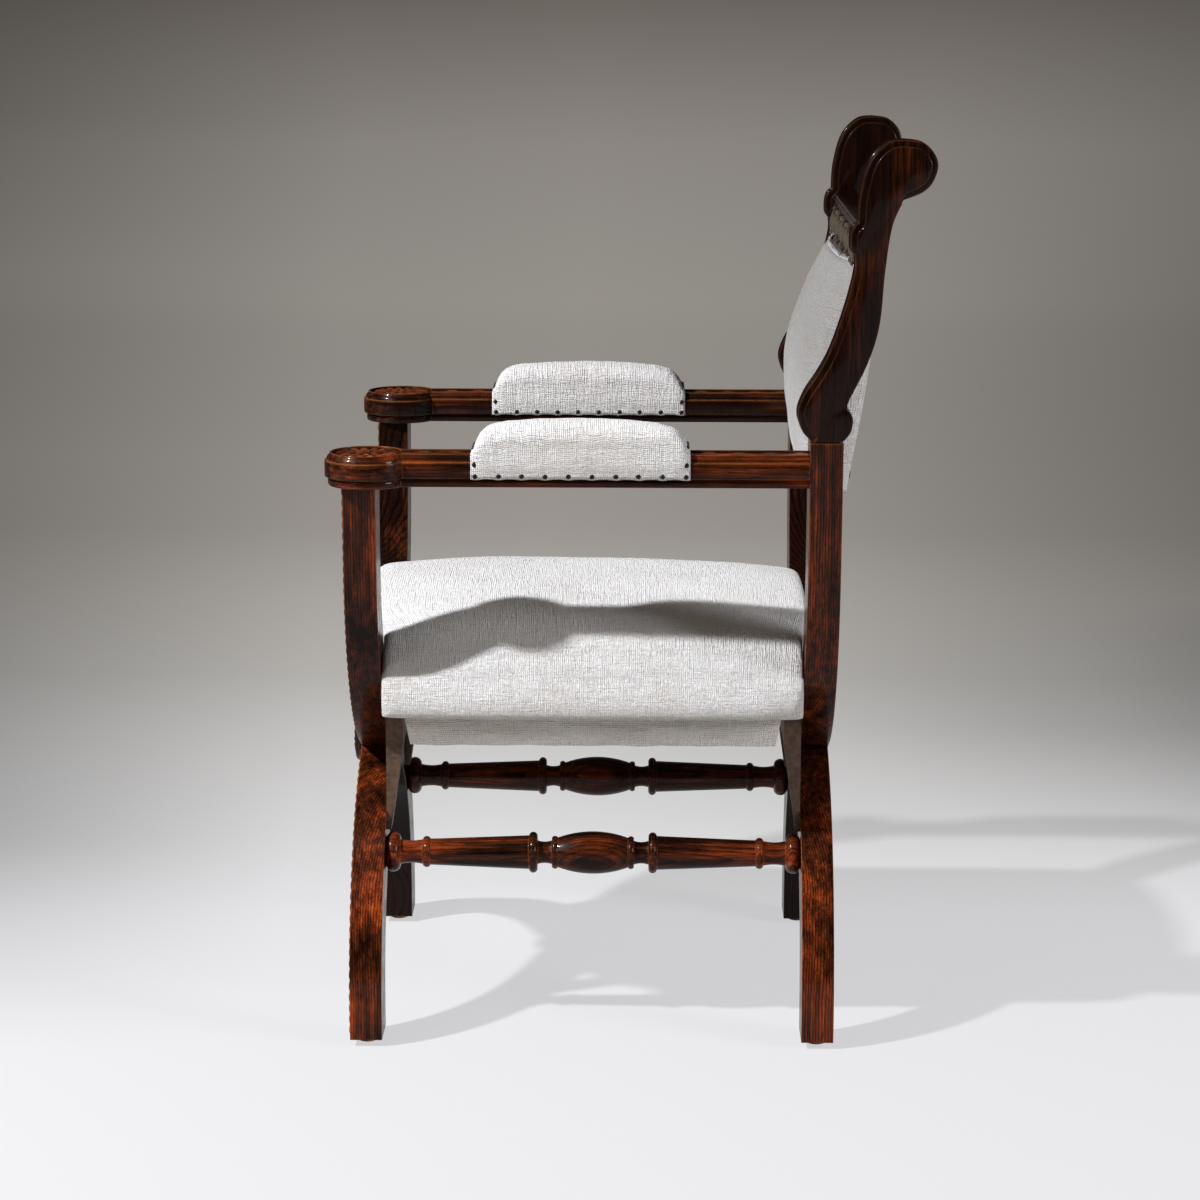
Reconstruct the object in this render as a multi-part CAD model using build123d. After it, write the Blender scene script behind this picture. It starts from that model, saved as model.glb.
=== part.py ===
from build123d import *
import math
import os

# Savonarola armchair: two crossed frames, one at the front and one at the rear,
# joined by turned stretchers, seat bearers and arms, with a stuffed seat and back.
# X runs across the chair (+X is the sitter's left), the chair faces -Y, +Z is up.
# The model is drawn about the point on the floor midway between the frames, and
# written out about the middle of the whole chair's depth. Lengths are mm.

# Feet
pad_diameter = 24
pad_height = 8

# Crossed members
frame_gap = 485
member_thickness = 37
member_width = 56
upper_radius = 247
upper_centre_height = 578
post_lean = 4
crossing_angle = 23
leg_start = 90
foot_half_span = 244.5
peg_diameter = 12
boss_diameter = 78
boss_depth = 14
boss_rim = 6

# Stretchers
stretcher_height = 208
stretcher_tenon_diameter = 18
stretcher_tenon_length = 22
stretcher_boss_radius = 23.5
stretcher_boss_length = 17
stretcher_boss_base = 16
stretcher_neck_radius = 13
stretcher_neck_length = 26
stretcher_shoulder = 1.5
stretcher_ring_radius = 18.3
stretcher_ring_length = 9
stretcher_thin_radius = 15.3
stretcher_thick_radius = 19.8
stretcher_collar_radius = 24
stretcher_collar_length = 10
stretcher_collar_place = 70
stretcher_cove_radius = 12.5
stretcher_cove_length = 17
stretcher_bead_radius = 19.3
stretcher_bead_length = 7
stretcher_bulge_radius = 24.8
stretcher_bulge_end_radius = 17.5

# Arms
arm_underside = 657.7
arm_outset = 6
arm_bar_width = 50
arm_disc_radius = 48
arm_overhang = 21
arm_bead_height = 9.5
arm_bead_inset = 5
arm_fascia_height = 19
arm_ogee_height = 8.6
arm_ogee_inset = 6
arm_tenon_width = 28
arm_tenon_thickness = 17
arm_tenon_length = 24
post_tenon_width = 30
post_tenon_thickness = 18
post_tenon_length = 24

# Arm pads and their nails
arm_pad_start = 144
arm_pad_length = 245
arm_pad_side = 4.5
arm_pad_rise = 36
arm_pad_round = 15
arm_flap_length = 8
arm_flap_thickness = 2
nail_head_radius = 2.5
nail_head_height = 1.7
nail_shoulder_radius = 1.8
nail_shoulder_height = 1.25
nail_shank_radius = 0.8
nail_shank_length = 11
nail_end_margin = 5
side_nail_count = 10
nail_row_height = 4
upper_nail_rise = 15
flap_nail_count = 3
flap_nail_pitch = 15

# Back uprights, crest rail and bottom rail
seam_rise = 14.2
upright_thickness = 46
upright_outset = 3
upright_dowel_diameter = 14
upright_dowel_length = 34
back_lean = 8.7
back_rear_y = 286.5
crest_rise = 175
crest_height = 60
crest_rear = 4
crest_thickness = 30
crest_lip = 4
crest_lip_height = 8
crest_rebate = 18
crest_dowel_diameter = 10
crest_dowel_length = 50
crest_dowel_pitch = 30
bottom_rail_drop = 57
bottom_rail_height = 46
bottom_rail_thickness = 25
bottom_rail_tenon_length = 20
bottom_rail_tenon_thickness = 10
bottom_rail_tenon_height = 22

# Stuffed back
back_gap = 3
back_foot_forward = 24
back_head_behind = 12
back_head_gap = 0.9
back_strap_width = 48
back_strap_count = 4
back_strap_pitch = 100
back_strap_thickness = 2
cloth_thickness = 1.5
back_tack_count = 9

# Seat bearers
bearer_half_length = 170
bearer_thickness = 20
bearer_bottom = 336
bearer_height = 47.5
bearer_bevel = 7
bracket_width = 32
bracket_length = 104
bracket_toe = 5
screw_head_radius = 4.5
screw_shank_radius = 2.2
screw_length = 38
screw_place = 128
screw_drop = 19

# Seat frame and stuffed seat
seat_rail_height = 25
seat_rail_depth = 40
seat_rail_half_length = 226
seat_side_rail_thickness = 22
seat_side_rail_margin = 26
seat_side_rail_drop = 36
seat_side_rail_bevel = 8
seat_side_rail_inset = 24
seat_tenon_length = 20
seat_tenon_width = 12
seat_half_width = 245
seat_drop = 4
seat_side_rise = 86
seat_end_rise = 110
seat_crown_rise = 125
seat_long_crown_rise = 128
seat_strap_width = 50
seat_strap_thickness = 2
seat_strap_count = 6
seat_strap_pitch = 70
tack_head_radius = 4
tack_head_height = 1.2
tack_shank_radius = 1
tack_shank_length = 10
seat_tack_inset = 8
seat_tack_drop = 6

# Clearances
glue_line = 0.15
soft_gap = 0.3
seat_side_gap = 2

# Worked out from the sizes above
inner_face = frame_gap / 2
outer_face = inner_face + member_thickness
post_centre_y = inner_face + member_thickness / 2
arm_top = arm_underside + arm_bead_height + arm_fascia_height + arm_ogee_height
seam_height = arm_top + seam_rise
crest_bottom = seam_height + crest_rise
crest_top = crest_bottom + crest_height
bottom_rail_bottom = seam_height - bottom_rail_drop
seat_side_rail_place = seat_rail_half_length - seat_side_rail_margin
bearer_top = bearer_bottom + bearer_height
seat_base = bearer_top + seat_drop
deck_height = bearer_top + seat_rail_height
upper_centre = (0, upper_centre_height)
lean = math.radians(post_lean)
cross = math.radians(crossing_angle)
back_tilt = math.radians(back_lean)
lean_start = (
    upper_radius * math.cos(lean),
    upper_centre_height - upper_radius * math.sin(lean),
)
dip = (
    upper_radius * math.sin(cross),
    upper_centre_height - upper_radius * math.cos(cross),
)
crossing_height = dip[1] - dip[0] * math.tan(cross)
leg_top = (-leg_start, crossing_height - leg_start * math.tan(cross))
leg_foot = (-foot_half_span, 0)

chair = {}


def add(name, shape):
    """Keep one finished piece under its own name."""
    chair[name] = shape


def frontal(y):
    """The plane seen from the front at depth y; its solids grow towards -Y."""
    return Plane(origin=(0, y, 0), x_dir=(1, 0, 0), z_dir=(0, -1, 0))


def sideways(x):
    """The plane seen from the sitter's left at x; its solids grow towards +X."""
    return Plane(origin=(x, 0, 0), x_dir=(0, 1, 0), z_dir=(1, 0, 0))


def block(x, y, z):
    """A box from its lowest and highest x, y and z."""
    size = [high - low for low, high in (x, y, z)]
    middle = [(high + low) / 2 for low, high in (x, y, z)]
    return Pos(*middle) * Box(*size)


def rod(start, end, radius):
    """A round rod between two points."""
    start, end = Vector(*start), Vector(*end)
    axis = end - start
    return extrude(Plane(origin=start, z_dir=axis) * Circle(radius), axis.length)


def post_x(height):
    """Distance of a post's centre line from the middle of the chair at a height."""
    return lean_start[0] + (height - lean_start[1]) * math.tan(lean)


def leg_arc():
    """Centre line of a leg, from the crossing to the floor on the -X side."""
    return TangentArc(leg_top, leg_foot, tangent=(-math.cos(cross), -math.sin(cross)))


def leg_x(height):
    """Distance of a leg's centre line from the middle of the chair at a height."""
    arc = leg_arc()
    centre = arc.arc_center
    return math.sqrt(arc.radius**2 - (height - centre.Y) ** 2) - centre.X


def mirrored(shape):
    """The same piece on the sitter's right."""
    return mirror(shape, about=Plane.YZ)


# Crossed members ---------------------------------------------------------------

def member(back, top):
    """One S-shaped member, a post at +X that crosses to a leg at -X; back is its rear y."""
    past = member_width
    line = [
        Line((post_x(top + past), top + past), lean_start),
        CenterArc(upper_centre, upper_radius, -post_lean, post_lean + crossing_angle - 90),
        Line(dip, leg_top),
        leg_arc(),
    ]
    ribbon = trace(line, member_width)
    reach = 2 * foot_half_span
    limits = block((-reach, reach), (back - member_thickness, back), (pad_height, top))
    return extrude(frontal(back) * ribbon, member_thickness) & limits


def crossed_pair(back, top):
    """Two members half-lapped at the crossing; back is the frame's rearmost y."""
    left = member(back, top)
    right = mirrored(left)
    lap = left & right
    middle = back - member_thickness / 2
    reach = 2 * foot_half_span
    rear_half = block((-reach, reach), (middle, back), (0, top))
    front_half = block((-reach, reach), (back - member_thickness, middle), (0, top))
    peg = rod(
        (0, back, crossing_height),
        (0, back - member_thickness, crossing_height),
        peg_diameter / 2 + glue_line,
    )
    return left - (lap & rear_half) - peg, right - (lap & front_half) - peg


def post_tenon(side):
    """Tenon on a front post that stands in the arm."""
    x = side * post_x(arm_underside)
    return block(
        (x - post_tenon_width / 2, x + post_tenon_width / 2),
        (-post_centre_y - post_tenon_thickness / 2, -post_centre_y + post_tenon_thickness / 2),
        (arm_underside, arm_underside + post_tenon_length),
    )


def arm_centre_x():
    """Distance of an arm's centre line from the middle of the chair."""
    return post_x(arm_underside) + arm_outset


def arm_tenon(side, gap):
    """Tenon at the rear end of an arm, with the gap of its mortise."""
    x = side * arm_centre_x()
    z = arm_underside + (arm_top - arm_underside) / 2
    return block(
        (x - arm_tenon_thickness / 2 - gap, x + arm_tenon_thickness / 2 + gap),
        (inner_face, inner_face + arm_tenon_length + gap),
        (z - arm_tenon_width / 2 - gap, z + arm_tenon_width / 2 + gap),
    )


def stretcher_socket(side, end):
    """Round mortise for a stretcher's tenon; end is -1 at the front, 1 at the rear."""
    place = (side * leg_x(stretcher_height), stretcher_height)
    depth = stretcher_tenon_length + glue_line
    return rod(
        (place[0], end * inner_face, place[1]),
        (place[0], end * (inner_face + depth), place[1]),
        stretcher_tenon_diameter / 2 + glue_line,
    )


def screw_height():
    """Height of the bearer screws."""
    return bearer_top - screw_drop


def bearer_screw(side, end, gap):
    """Wood screw through a bearer into a member, with the gap of its hole."""
    head_y = end * (inner_face - bearer_thickness)
    place = (side * screw_place, screw_height())
    head = rod(
        (place[0], head_y, place[1]),
        (place[0], head_y + end * screw_head_radius, place[1]),
        screw_head_radius + gap,
    )
    shank = rod(
        (place[0], head_y, place[1]),
        (place[0], head_y + end * (screw_length + gap), place[1]),
        screw_shank_radius + gap,
    )
    return head + shank


def upright_dowel(side, gap):
    """Dowel between a rear post and its back upright."""
    x = side * upright_centre_x()
    half = upright_dowel_length / 2 + gap
    return rod(
        (x, post_centre_y, seam_height - half),
        (x, post_centre_y, seam_height + half),
        upright_dowel_diameter / 2 + gap,
    )


def upright_centre_x():
    """Distance of an upright's centre from the middle of the chair."""
    return post_x(seam_height) + upright_outset


def back_point(up, forward):
    """Y and z of a point in the leaning plane of the back's rear face."""
    y = back_rear_y + up * math.sin(back_tilt) - forward * math.cos(back_tilt)
    z = bottom_rail_bottom + up * math.cos(back_tilt) + forward * math.sin(back_tilt)
    return y, z


def back_up(height):
    """Distance up the leaning back at a height above the floor."""
    return (height - bottom_rail_bottom) / math.cos(back_tilt)


def back_block(x, up, forward):
    """A box that leans with the back, from its lowest and highest values."""
    corners = [(up[0], forward[0]), (up[1], forward[0]), (up[1], forward[1]), (up[0], forward[1])]
    outline = Polyline(*[back_point(*corner) for corner in corners], close=True)
    return extrude(sideways(x[0]) * make_face(outline), x[1] - x[0])


def back_half_width(height, gap):
    """Half of the clear width between the rear posts at a height."""
    return post_x(height) - member_width / 2 / math.cos(lean) - gap


def bottom_rail(gap):
    """Lowest rail of the back, tenoned into the rear posts."""
    shoulder = back_half_width(bottom_rail_bottom, glue_line)
    body = back_block((-shoulder, shoulder), (0, bottom_rail_height), (0, bottom_rail_thickness))
    reach = shoulder + bottom_rail_tenon_length + gap
    low = (bottom_rail_height - bottom_rail_tenon_height) / 2
    front = bottom_rail_thickness
    tenons = back_block(
        (-reach, reach),
        (low - gap, low + bottom_rail_tenon_height + gap),
        (front - bottom_rail_tenon_thickness - gap, front + gap),
    )
    return body + tenons


def build_frames():
    """The front and rear pairs of crossed members, their pegs and the boss."""
    front_left, front_right = crossed_pair(-inner_face, arm_underside)
    rear_left, rear_right = crossed_pair(outer_face, seam_height)
    front = {1: front_left + post_tenon(1), -1: front_right + post_tenon(-1)}
    rear = {1: rear_left, -1: rear_right}
    for side in (1, -1):
        front[side] -= stretcher_socket(-side, -1) + bearer_screw(side, -1, glue_line)
        rear[side] -= stretcher_socket(-side, 1) + bearer_screw(side, 1, glue_line)
        rear[side] -= arm_tenon(side, glue_line) + upright_dowel(side, glue_line)
        rear[side] -= bottom_rail(glue_line)
    add("front_member_left", front[1])
    add("front_member_right", front[-1])
    add("rear_member_left", rear[1])
    add("rear_member_right", rear[-1])

    pegs = [
        rod((0, y, crossing_height), (0, y - member_thickness, crossing_height), peg_diameter / 2)
        for y in (-inner_face, outer_face)
    ]
    add("crossing_pegs", Compound(children=pegs))

    face = -outer_face
    disc = rod((0, face, crossing_height), (0, face - boss_depth, crossing_height), boss_diameter / 2)
    disc = chamfer(disc.faces().sort_by(Axis.Y)[0].edges(), boss_rim)
    add("front_boss", disc)


# Stretchers --------------------------------------------------------------------

def stretcher_sections():
    """Turned sections from the middle bulge outwards: length, radii at start, middle, end."""
    collar_start = stretcher_collar_place - stretcher_collar_length / 2
    bulge_end = collar_start - stretcher_cove_length - stretcher_bead_length
    cove_shoulder = stretcher_cove_radius + stretcher_shoulder
    neck_shoulder = stretcher_neck_radius + stretcher_shoulder
    ends = stretcher_ring_length + stretcher_neck_length + stretcher_boss_length
    taper_length = inner_face - collar_start - stretcher_collar_length - ends
    waist, thick, thin = stretcher_bulge_end_radius, stretcher_thick_radius, stretcher_thin_radius
    base = stretcher_boss_base
    return bulge_end, [
        (stretcher_bead_length, waist, stretcher_bead_radius, waist),
        (stretcher_cove_length, cove_shoulder, stretcher_cove_radius, cove_shoulder),
        (stretcher_collar_length, thick, stretcher_collar_radius, thick),
        (taper_length, thick, (thick + thin) / 2, thin),
        (stretcher_ring_length, thin, stretcher_ring_radius, thin),
        (stretcher_neck_length, neck_shoulder, stretcher_neck_radius, neck_shoulder),
        (stretcher_boss_length, base, stretcher_boss_radius, base),
    ]


def stretcher():
    """A turned stretcher along the Y axis, with a round tenon at each end."""
    bulge_end, sections = stretcher_sections()
    waist = stretcher_bulge_end_radius
    edges = [ThreePointArc((-bulge_end, waist), (0, stretcher_bulge_radius), (bulge_end, waist))]
    tip = inner_face + stretcher_tenon_length
    tenon = stretcher_tenon_diameter / 2
    for side in (1, -1):
        place, radius = bulge_end, waist
        for length, first, middle, last in sections:
            if first != radius:
                edges.append(Line((side * place, radius), (side * place, first)))
            start, end = (side * place, first), (side * (place + length), last)
            if first == last:
                edges.append(ThreePointArc(start, (side * (place + length / 2), middle), end))
            else:
                edges.append(Line(start, end))
            place, radius = place + length, last
        shoulder = (side * inner_face, tenon)
        edges.append(Polyline((side * place, radius), shoulder, (side * tip, tenon), (side * tip, 0)))
    edges.append(Line((-tip, 0), (tip, 0)))
    return Rot(0, 0, 90) * revolve(make_face(edges), Axis.X)


def build_stretchers():
    """The two stretchers, one between the legs of each side."""
    for name, side in (("left", 1), ("right", -1)):
        place = Pos(side * leg_x(stretcher_height), 0, stretcher_height)
        add(f"stretcher_{name}", place * stretcher())


# Arms --------------------------------------------------------------------------

def arm_disc_y():
    """Depth of the centre of an arm's round end."""
    return -outer_face - arm_overhang + arm_disc_radius


def arm_layer(low, height, bottom_inset, top_inset):
    """One moulded layer of an arm about x = 0: the round end and the bar behind it."""
    disc = Pos(0, arm_disc_y(), low + height / 2) * Cone(
        arm_disc_radius - bottom_inset, arm_disc_radius - top_inset, height
    )
    half = arm_bar_width / 2
    section = make_face(Polyline(
        (-half + bottom_inset, low),
        (half - bottom_inset, low),
        (half - top_inset, low + height),
        (-half + top_inset, low + height),
        close=True,
    ))
    bar = extrude(frontal(inner_face) * section, inner_face - arm_disc_y())
    return disc + bar


def arm_body():
    """A moulded arm about x = 0, from the lower bead to the flat top."""
    fascia = arm_underside + arm_bead_height
    ogee = fascia + arm_fascia_height
    body = block(
        (-arm_bar_width / 2 + arm_bead_inset, arm_bar_width / 2 - arm_bead_inset),
        (arm_disc_y(), inner_face),
        (arm_underside, fascia),
    )
    body += Pos(0, arm_disc_y(), (arm_underside + fascia) / 2) * Cylinder(
        arm_disc_radius - arm_bead_inset, arm_bead_height
    )
    body += block(
        (-arm_bar_width / 2, arm_bar_width / 2), (arm_disc_y(), inner_face), (fascia, ogee)
    )
    body += Pos(0, arm_disc_y(), (fascia + ogee) / 2) * Cylinder(
        arm_disc_radius, arm_fascia_height
    )
    return body + arm_layer(ogee, arm_ogee_height, 0, arm_ogee_inset)


def pad_ends():
    """Front and rear y of an arm pad."""
    start = -outer_face + arm_pad_start
    return start, start + arm_pad_length


def arm_pad():
    """Stuffed pad that saddles an arm, about x = 0, with a nailed flap at each end."""
    start, end = pad_ends()
    half = arm_bar_width / 2 + arm_pad_side
    low = arm_underside + arm_bead_height
    body = block(
        (-half, half),
        (start + arm_flap_length, end - arm_flap_length),
        (low, arm_top + arm_pad_rise),
    )
    body = fillet(body.faces().sort_by(Axis.Z)[-1].edges(), arm_pad_round)
    flap_half = arm_bar_width / 2 - arm_ogee_inset
    flaps = block(
        (-flap_half, flap_half),
        (start, end),
        (arm_top + soft_gap, arm_top + soft_gap + arm_flap_thickness),
    )
    hollow = block(
        (-arm_bar_width / 2 - soft_gap, arm_bar_width / 2 + soft_gap),
        (start, end),
        (low, arm_top + soft_gap),
    )
    return body + flaps - hollow


def nail(place, inward, gap):
    """A dome-headed nail: head on the outside of place, shank running inward."""
    place, inward = Vector(*place), Vector(*inward)
    if gap:
        shank_end = place + inward * (nail_shank_length + gap)
        return rod(place, shank_end, nail_shank_radius + gap)
    head, height = nail_head_radius, nail_head_height
    shank, length = nail_shank_radius, nail_shank_length
    outline = make_face([
        ThreePointArc((0, height), (nail_shoulder_radius, nail_shoulder_height), (head, 0)),
        Polyline((head, 0), (shank, 0), (shank, -length), (0, -length), (0, height)),
    ])
    turned = revolve(Plane.XZ * outline, Axis.Z)
    return Plane(origin=place, z_dir=-inward).location * turned


def pad_nails(gap):
    """Nails of one arm pad about x = 0: a row on each side and one on each flap."""
    start, end = pad_ends()
    half = arm_bar_width / 2 + arm_pad_side
    low = arm_underside + arm_bead_height + nail_row_height
    first = start + arm_flap_length + nail_end_margin
    last = end - arm_flap_length - nail_end_margin
    pitch = (last - first) / (side_nail_count - 1)
    nails = []
    for side in (1, -1):
        inward = (-side, 0, 0)
        for index in range(side_nail_count):
            nails.append(nail((side * half, first + index * pitch, low), inward, gap))
        for y in (first, last):
            nails.append(nail((side * half, y, low + upper_nail_rise), inward, gap))
    flap_top = arm_top + soft_gap + arm_flap_thickness
    for y in (start + arm_flap_length / 2, end - arm_flap_length / 2):
        for index in range(flap_nail_count):
            x = (index - (flap_nail_count - 1) / 2) * flap_nail_pitch
            nails.append(nail((x, y, flap_top), (0, 0, -1), gap))
    return nails


def build_arms():
    """Both arms with their pads and nails."""
    holes = Compound(children=pad_nails(glue_line))
    body = arm_body() - holes
    pad = arm_pad() - holes
    nails = Compound(children=pad_nails(0))
    for name, side in (("left", 1), ("right", -1)):
        place = Pos(side * arm_centre_x(), 0, 0)
        mortise_x = side * post_x(arm_underside)
        mortise = block(
            (mortise_x - post_tenon_width / 2 - glue_line,
             mortise_x + post_tenon_width / 2 + glue_line),
            (-post_centre_y - post_tenon_thickness / 2 - glue_line,
             -post_centre_y + post_tenon_thickness / 2 + glue_line),
            (arm_underside, arm_underside + post_tenon_length + glue_line),
        )
        add(f"arm_{name}", place * body + arm_tenon(side, 0) - mortise)
        add(f"arm_pad_{name}", place * pad)
        add(f"arm_nails_{name}", place * nails)


# Back --------------------------------------------------------------------------

# Front of the stuffed back in the side view, measured as the upright's outline is.
back_bulge = [(-35.5, 10), (-37.5, 50), (-27, 106), (-8, 154)]

# Outline of an upright in the side view, measured from the seam at the middle of
# the rear post: y towards the rear, z above the seam.
upright_front_low = [(-15, 0), (-27, 12), (-33, 32), (-26, 54), (-12, 76), (0, 98), (10, 124)]
upright_front_mid = [(10, 124), (21, 160), (28, 191), (27.5, 208)]
upright_bead = [(27.5, 208), (22.5, 226), (31, 244)]
upright_front_top = [(31, 244), (33, 275), (43, 311), (62, 331), (81, 334.5)]
upright_roll = [(81, 334.5), (103, 330), (117, 311), (113, 290), (101, 277), (80, 268.5)]
upright_rear_top = [(80, 268.5), (68, 240), (61, 190), (56, 132), (44, 90), (24, 48), (22, 38)]
upright_rear_bead = [(22, 38), (27, 26), (15, 0)]


def upright_face():
    """Outline of a back upright, placed in the side view."""
    y, z = post_centre_y, seam_height
    moved = {
        name: [(y + point[0], z + point[1]) for point in points]
        for name, points in (
            ("front_low", upright_front_low),
            ("front_mid", upright_front_mid),
            ("bead", upright_bead),
            ("front_top", upright_front_top),
            ("roll", upright_roll),
            ("rear_top", upright_rear_top),
            ("rear_bead", upright_rear_bead),
        )
    }
    return make_face([
        Spline(*moved["front_low"]),
        Spline(*moved["front_mid"]),
        ThreePointArc(*moved["bead"]),
        Spline(*moved["front_top"]),
        Spline(*moved["roll"]),
        Spline(*moved["rear_top"]),
        Spline(*moved["rear_bead"]),
        Line(moved["rear_bead"][-1], moved["front_low"][0]),
    ])


def crest_dowels(side, gap):
    """The two dowels that join the crest rail to one upright."""
    shoulder = side * (upright_centre_x() - upright_thickness / 2)
    middle = back_up((crest_bottom + crest_top) / 2)
    half = crest_dowel_length / 2 + gap
    dowels = []
    for shift in (-1, 1):
        y, z = back_point(middle + shift * crest_dowel_pitch / 2, crest_rear + crest_thickness / 2)
        radius = crest_dowel_diameter / 2 + gap
        dowels.append(rod((shoulder - half, y, z), (shoulder + half, y, z), radius))
    return dowels


def strap_front():
    """Distance of the front of the back straps from the back's rear face."""
    return bottom_rail_thickness + back_strap_thickness


def crest_rail():
    """Crest rail between the uprights, with a lip on top and a rebate for the straps."""
    half = upright_centre_x() - upright_thickness / 2
    low, high = back_up(crest_bottom), back_up(crest_top)
    front = crest_rear + crest_thickness
    body = back_block((-half, half), (low, high), (crest_rear, front))
    lip = back_block((-half, half), (high - crest_lip_height, high), (crest_rear, front + crest_lip))
    rebate = back_block((-half, half), (low - crest_rebate, low), (crest_rear, bottom_rail_thickness))
    return body + lip + rebate


def back_cushion():
    """Stuffed front of the back, between the rear posts and the uprights."""
    y, z = post_centre_y, seam_height
    behind = strap_front() + soft_gap
    foot = back_point(0, behind)
    head = back_point(back_up(crest_bottom) - back_head_gap, behind)
    front = [(y - back_foot_forward, foot[1])]
    front += [(y + point[0], z + point[1]) for point in back_bulge]
    front += [(y + back_head_behind, head[1])]
    section = make_face([
        Spline(*front),
        Line(front[-1], head),
        Line(head, foot),
        Line(foot, front[0]),
    ])
    upper = upright_centre_x() - upright_thickness / 2 - back_gap
    lower = back_half_width(bottom_rail_bottom, back_gap)
    body = extrude(sideways(-upper) * section, 2 * upper)
    for side in (1, -1):
        x = sorted((side * lower, side * (upper + back_gap)))
        body -= block(x, (0, 2 * outer_face), (0, z + back_gap))
    return body


def build_back():
    """Uprights, rails, straps and cushion of the back."""
    thickness = upright_thickness
    for name, side in (("left", 1), ("right", -1)):
        start = side * upright_centre_x() - thickness / 2
        upright = extrude(sideways(start) * upright_face(), thickness)
        dowels = Compound(children=crest_dowels(side, glue_line))
        add(f"upright_{name}", upright - upright_dowel(side, glue_line) - dowels)
    add("upright_dowels", Compound(children=[upright_dowel(side, 0) for side in (1, -1)]))

    dowel_holes = crest_dowels(1, glue_line) + crest_dowels(-1, glue_line)
    add("crest_rail", crest_rail() - Compound(children=dowel_holes))
    add("crest_dowels", Compound(children=crest_dowels(1, 0) + crest_dowels(-1, 0)))
    add("back_bottom_rail", bottom_rail(0))

    span = (bottom_rail_height / 2, back_up(crest_bottom) - soft_gap)
    straps = []
    for index in range(back_strap_count):
        x = (index - (back_strap_count - 1) / 2) * back_strap_pitch
        width = (x - back_strap_width / 2, x + back_strap_width / 2)
        straps.append(back_block(width, span, (bottom_rail_thickness, strap_front())))
    add("back_straps", Compound(children=straps))
    add("back_cushion", back_cushion())


def build_outside_back():
    """Cloth behind the back and the tacks along its lower edge."""
    half = back_half_width(bottom_rail_bottom, back_gap)
    head = back_up(crest_bottom) - crest_rebate / 2
    cloth = back_block((-half, half), (0, head), (-soft_gap - cloth_thickness, -soft_gap))
    pitch = 2 * (half - tack_shank_length) / (back_tack_count - 1)
    inward = (0, -math.cos(back_tilt), math.sin(back_tilt))
    y, z = back_point(bottom_rail_height / 4, -2 * soft_gap - cloth_thickness)
    tacks, holes = [], []
    for index in range(back_tack_count):
        x = (index - (back_tack_count - 1) / 2) * pitch
        tacks.append(tack((x, y, z), inward, 0))
        holes.append(tack((x, y, z), inward, glue_line))
    holes = Compound(children=holes)
    add("outside_back_cloth", cloth - holes)
    add("back_tacks", Compound(children=tacks))
    chair["back_bottom_rail"] -= holes


def tack(place, inward, gap):
    """A flat-headed tack: head on the outside of place, shank running inward."""
    place, inward = Vector(*place), Vector(*inward)
    shank = rod(place, place + inward * (tack_shank_length + gap), tack_shank_radius + gap)
    if gap:
        return shank
    return rod(place, place - inward * tack_head_height, tack_head_radius) + shank


# Seat --------------------------------------------------------------------------

def bearer(end):
    """A rail screwed to the inside of a frame; end is -1 at the front, 1 at the rear."""
    far = end * inner_face
    near = end * (inner_face - bearer_thickness)
    top, bevel = bearer_top, bearer_bevel
    half = bearer_half_length
    outline = Polyline(
        (-half, bearer_bottom),
        (half, bearer_bottom),
        (half, top - bevel),
        (half - bevel, top),
        (-half + bevel, top),
        (-half, top - bevel),
        close=True,
    )
    body = extrude(frontal(max(far, near)) * make_face(outline), bearer_thickness)
    for side in (1, -1):
        body -= bearer_screw(side, end, glue_line)
    return body


def bracket(side, end):
    """Tapered cleat that carries the end of a bearer from the leg below it."""
    face = end * inner_face
    profile = make_face(Polyline(
        (face, bearer_bottom),
        (face - end * bearer_thickness, bearer_bottom),
        (face - end * bracket_toe, bearer_bottom - bracket_length),
        (face, bearer_bottom - bracket_length),
        close=True,
    ))
    inner = bearer_half_length - bracket_width
    start = inner if side > 0 else -bearer_half_length
    return extrude(sideways(start) * profile, bracket_width)


def build_bearers():
    """Front and rear bearers with their cleats and screws."""
    add("bearer_front", bearer(-1))
    add("bearer_rear", bearer(1))
    corners = [(side, end) for side in (1, -1) for end in (-1, 1)]
    add("bearer_brackets", Compound(children=[bracket(*corner) for corner in corners]))
    add("bearer_screws", Compound(children=[bearer_screw(*corner, 0) for corner in corners]))


def seat_side_rail(side):
    """Side rail of the seat frame; its lower part drops between the bearers."""
    front = inner_face - seat_side_gap
    between = front - seat_rail_depth
    low = bearer_top - seat_side_rail_drop
    lower = inner_face - seat_side_rail_inset
    profile = make_face(Polyline(
        (-between, deck_height),
        (between, deck_height),
        (between, bearer_top),
        (lower, bearer_top),
        (lower - seat_side_rail_bevel, low),
        (-lower + seat_side_rail_bevel, low),
        (-lower, bearer_top),
        (-between, bearer_top),
        close=True,
    ))
    start = side * seat_side_rail_place - seat_side_rail_thickness / 2
    rail = extrude(sideways(start) * profile, seat_side_rail_thickness)
    return rail + seat_tenons(side, 0)


def seat_tenons(side, gap):
    """Tenons of a side rail in the front and rear rails."""
    reach = inner_face - seat_side_gap - seat_rail_depth + seat_tenon_length + gap
    x = side * seat_side_rail_place
    z = bearer_top + seat_rail_height / 2
    return block(
        (x - seat_tenon_width / 2 - gap, x + seat_tenon_width / 2 + gap),
        (-reach, reach),
        (z - seat_tenon_width / 2 - gap, z + seat_tenon_width / 2 + gap),
    )


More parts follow.
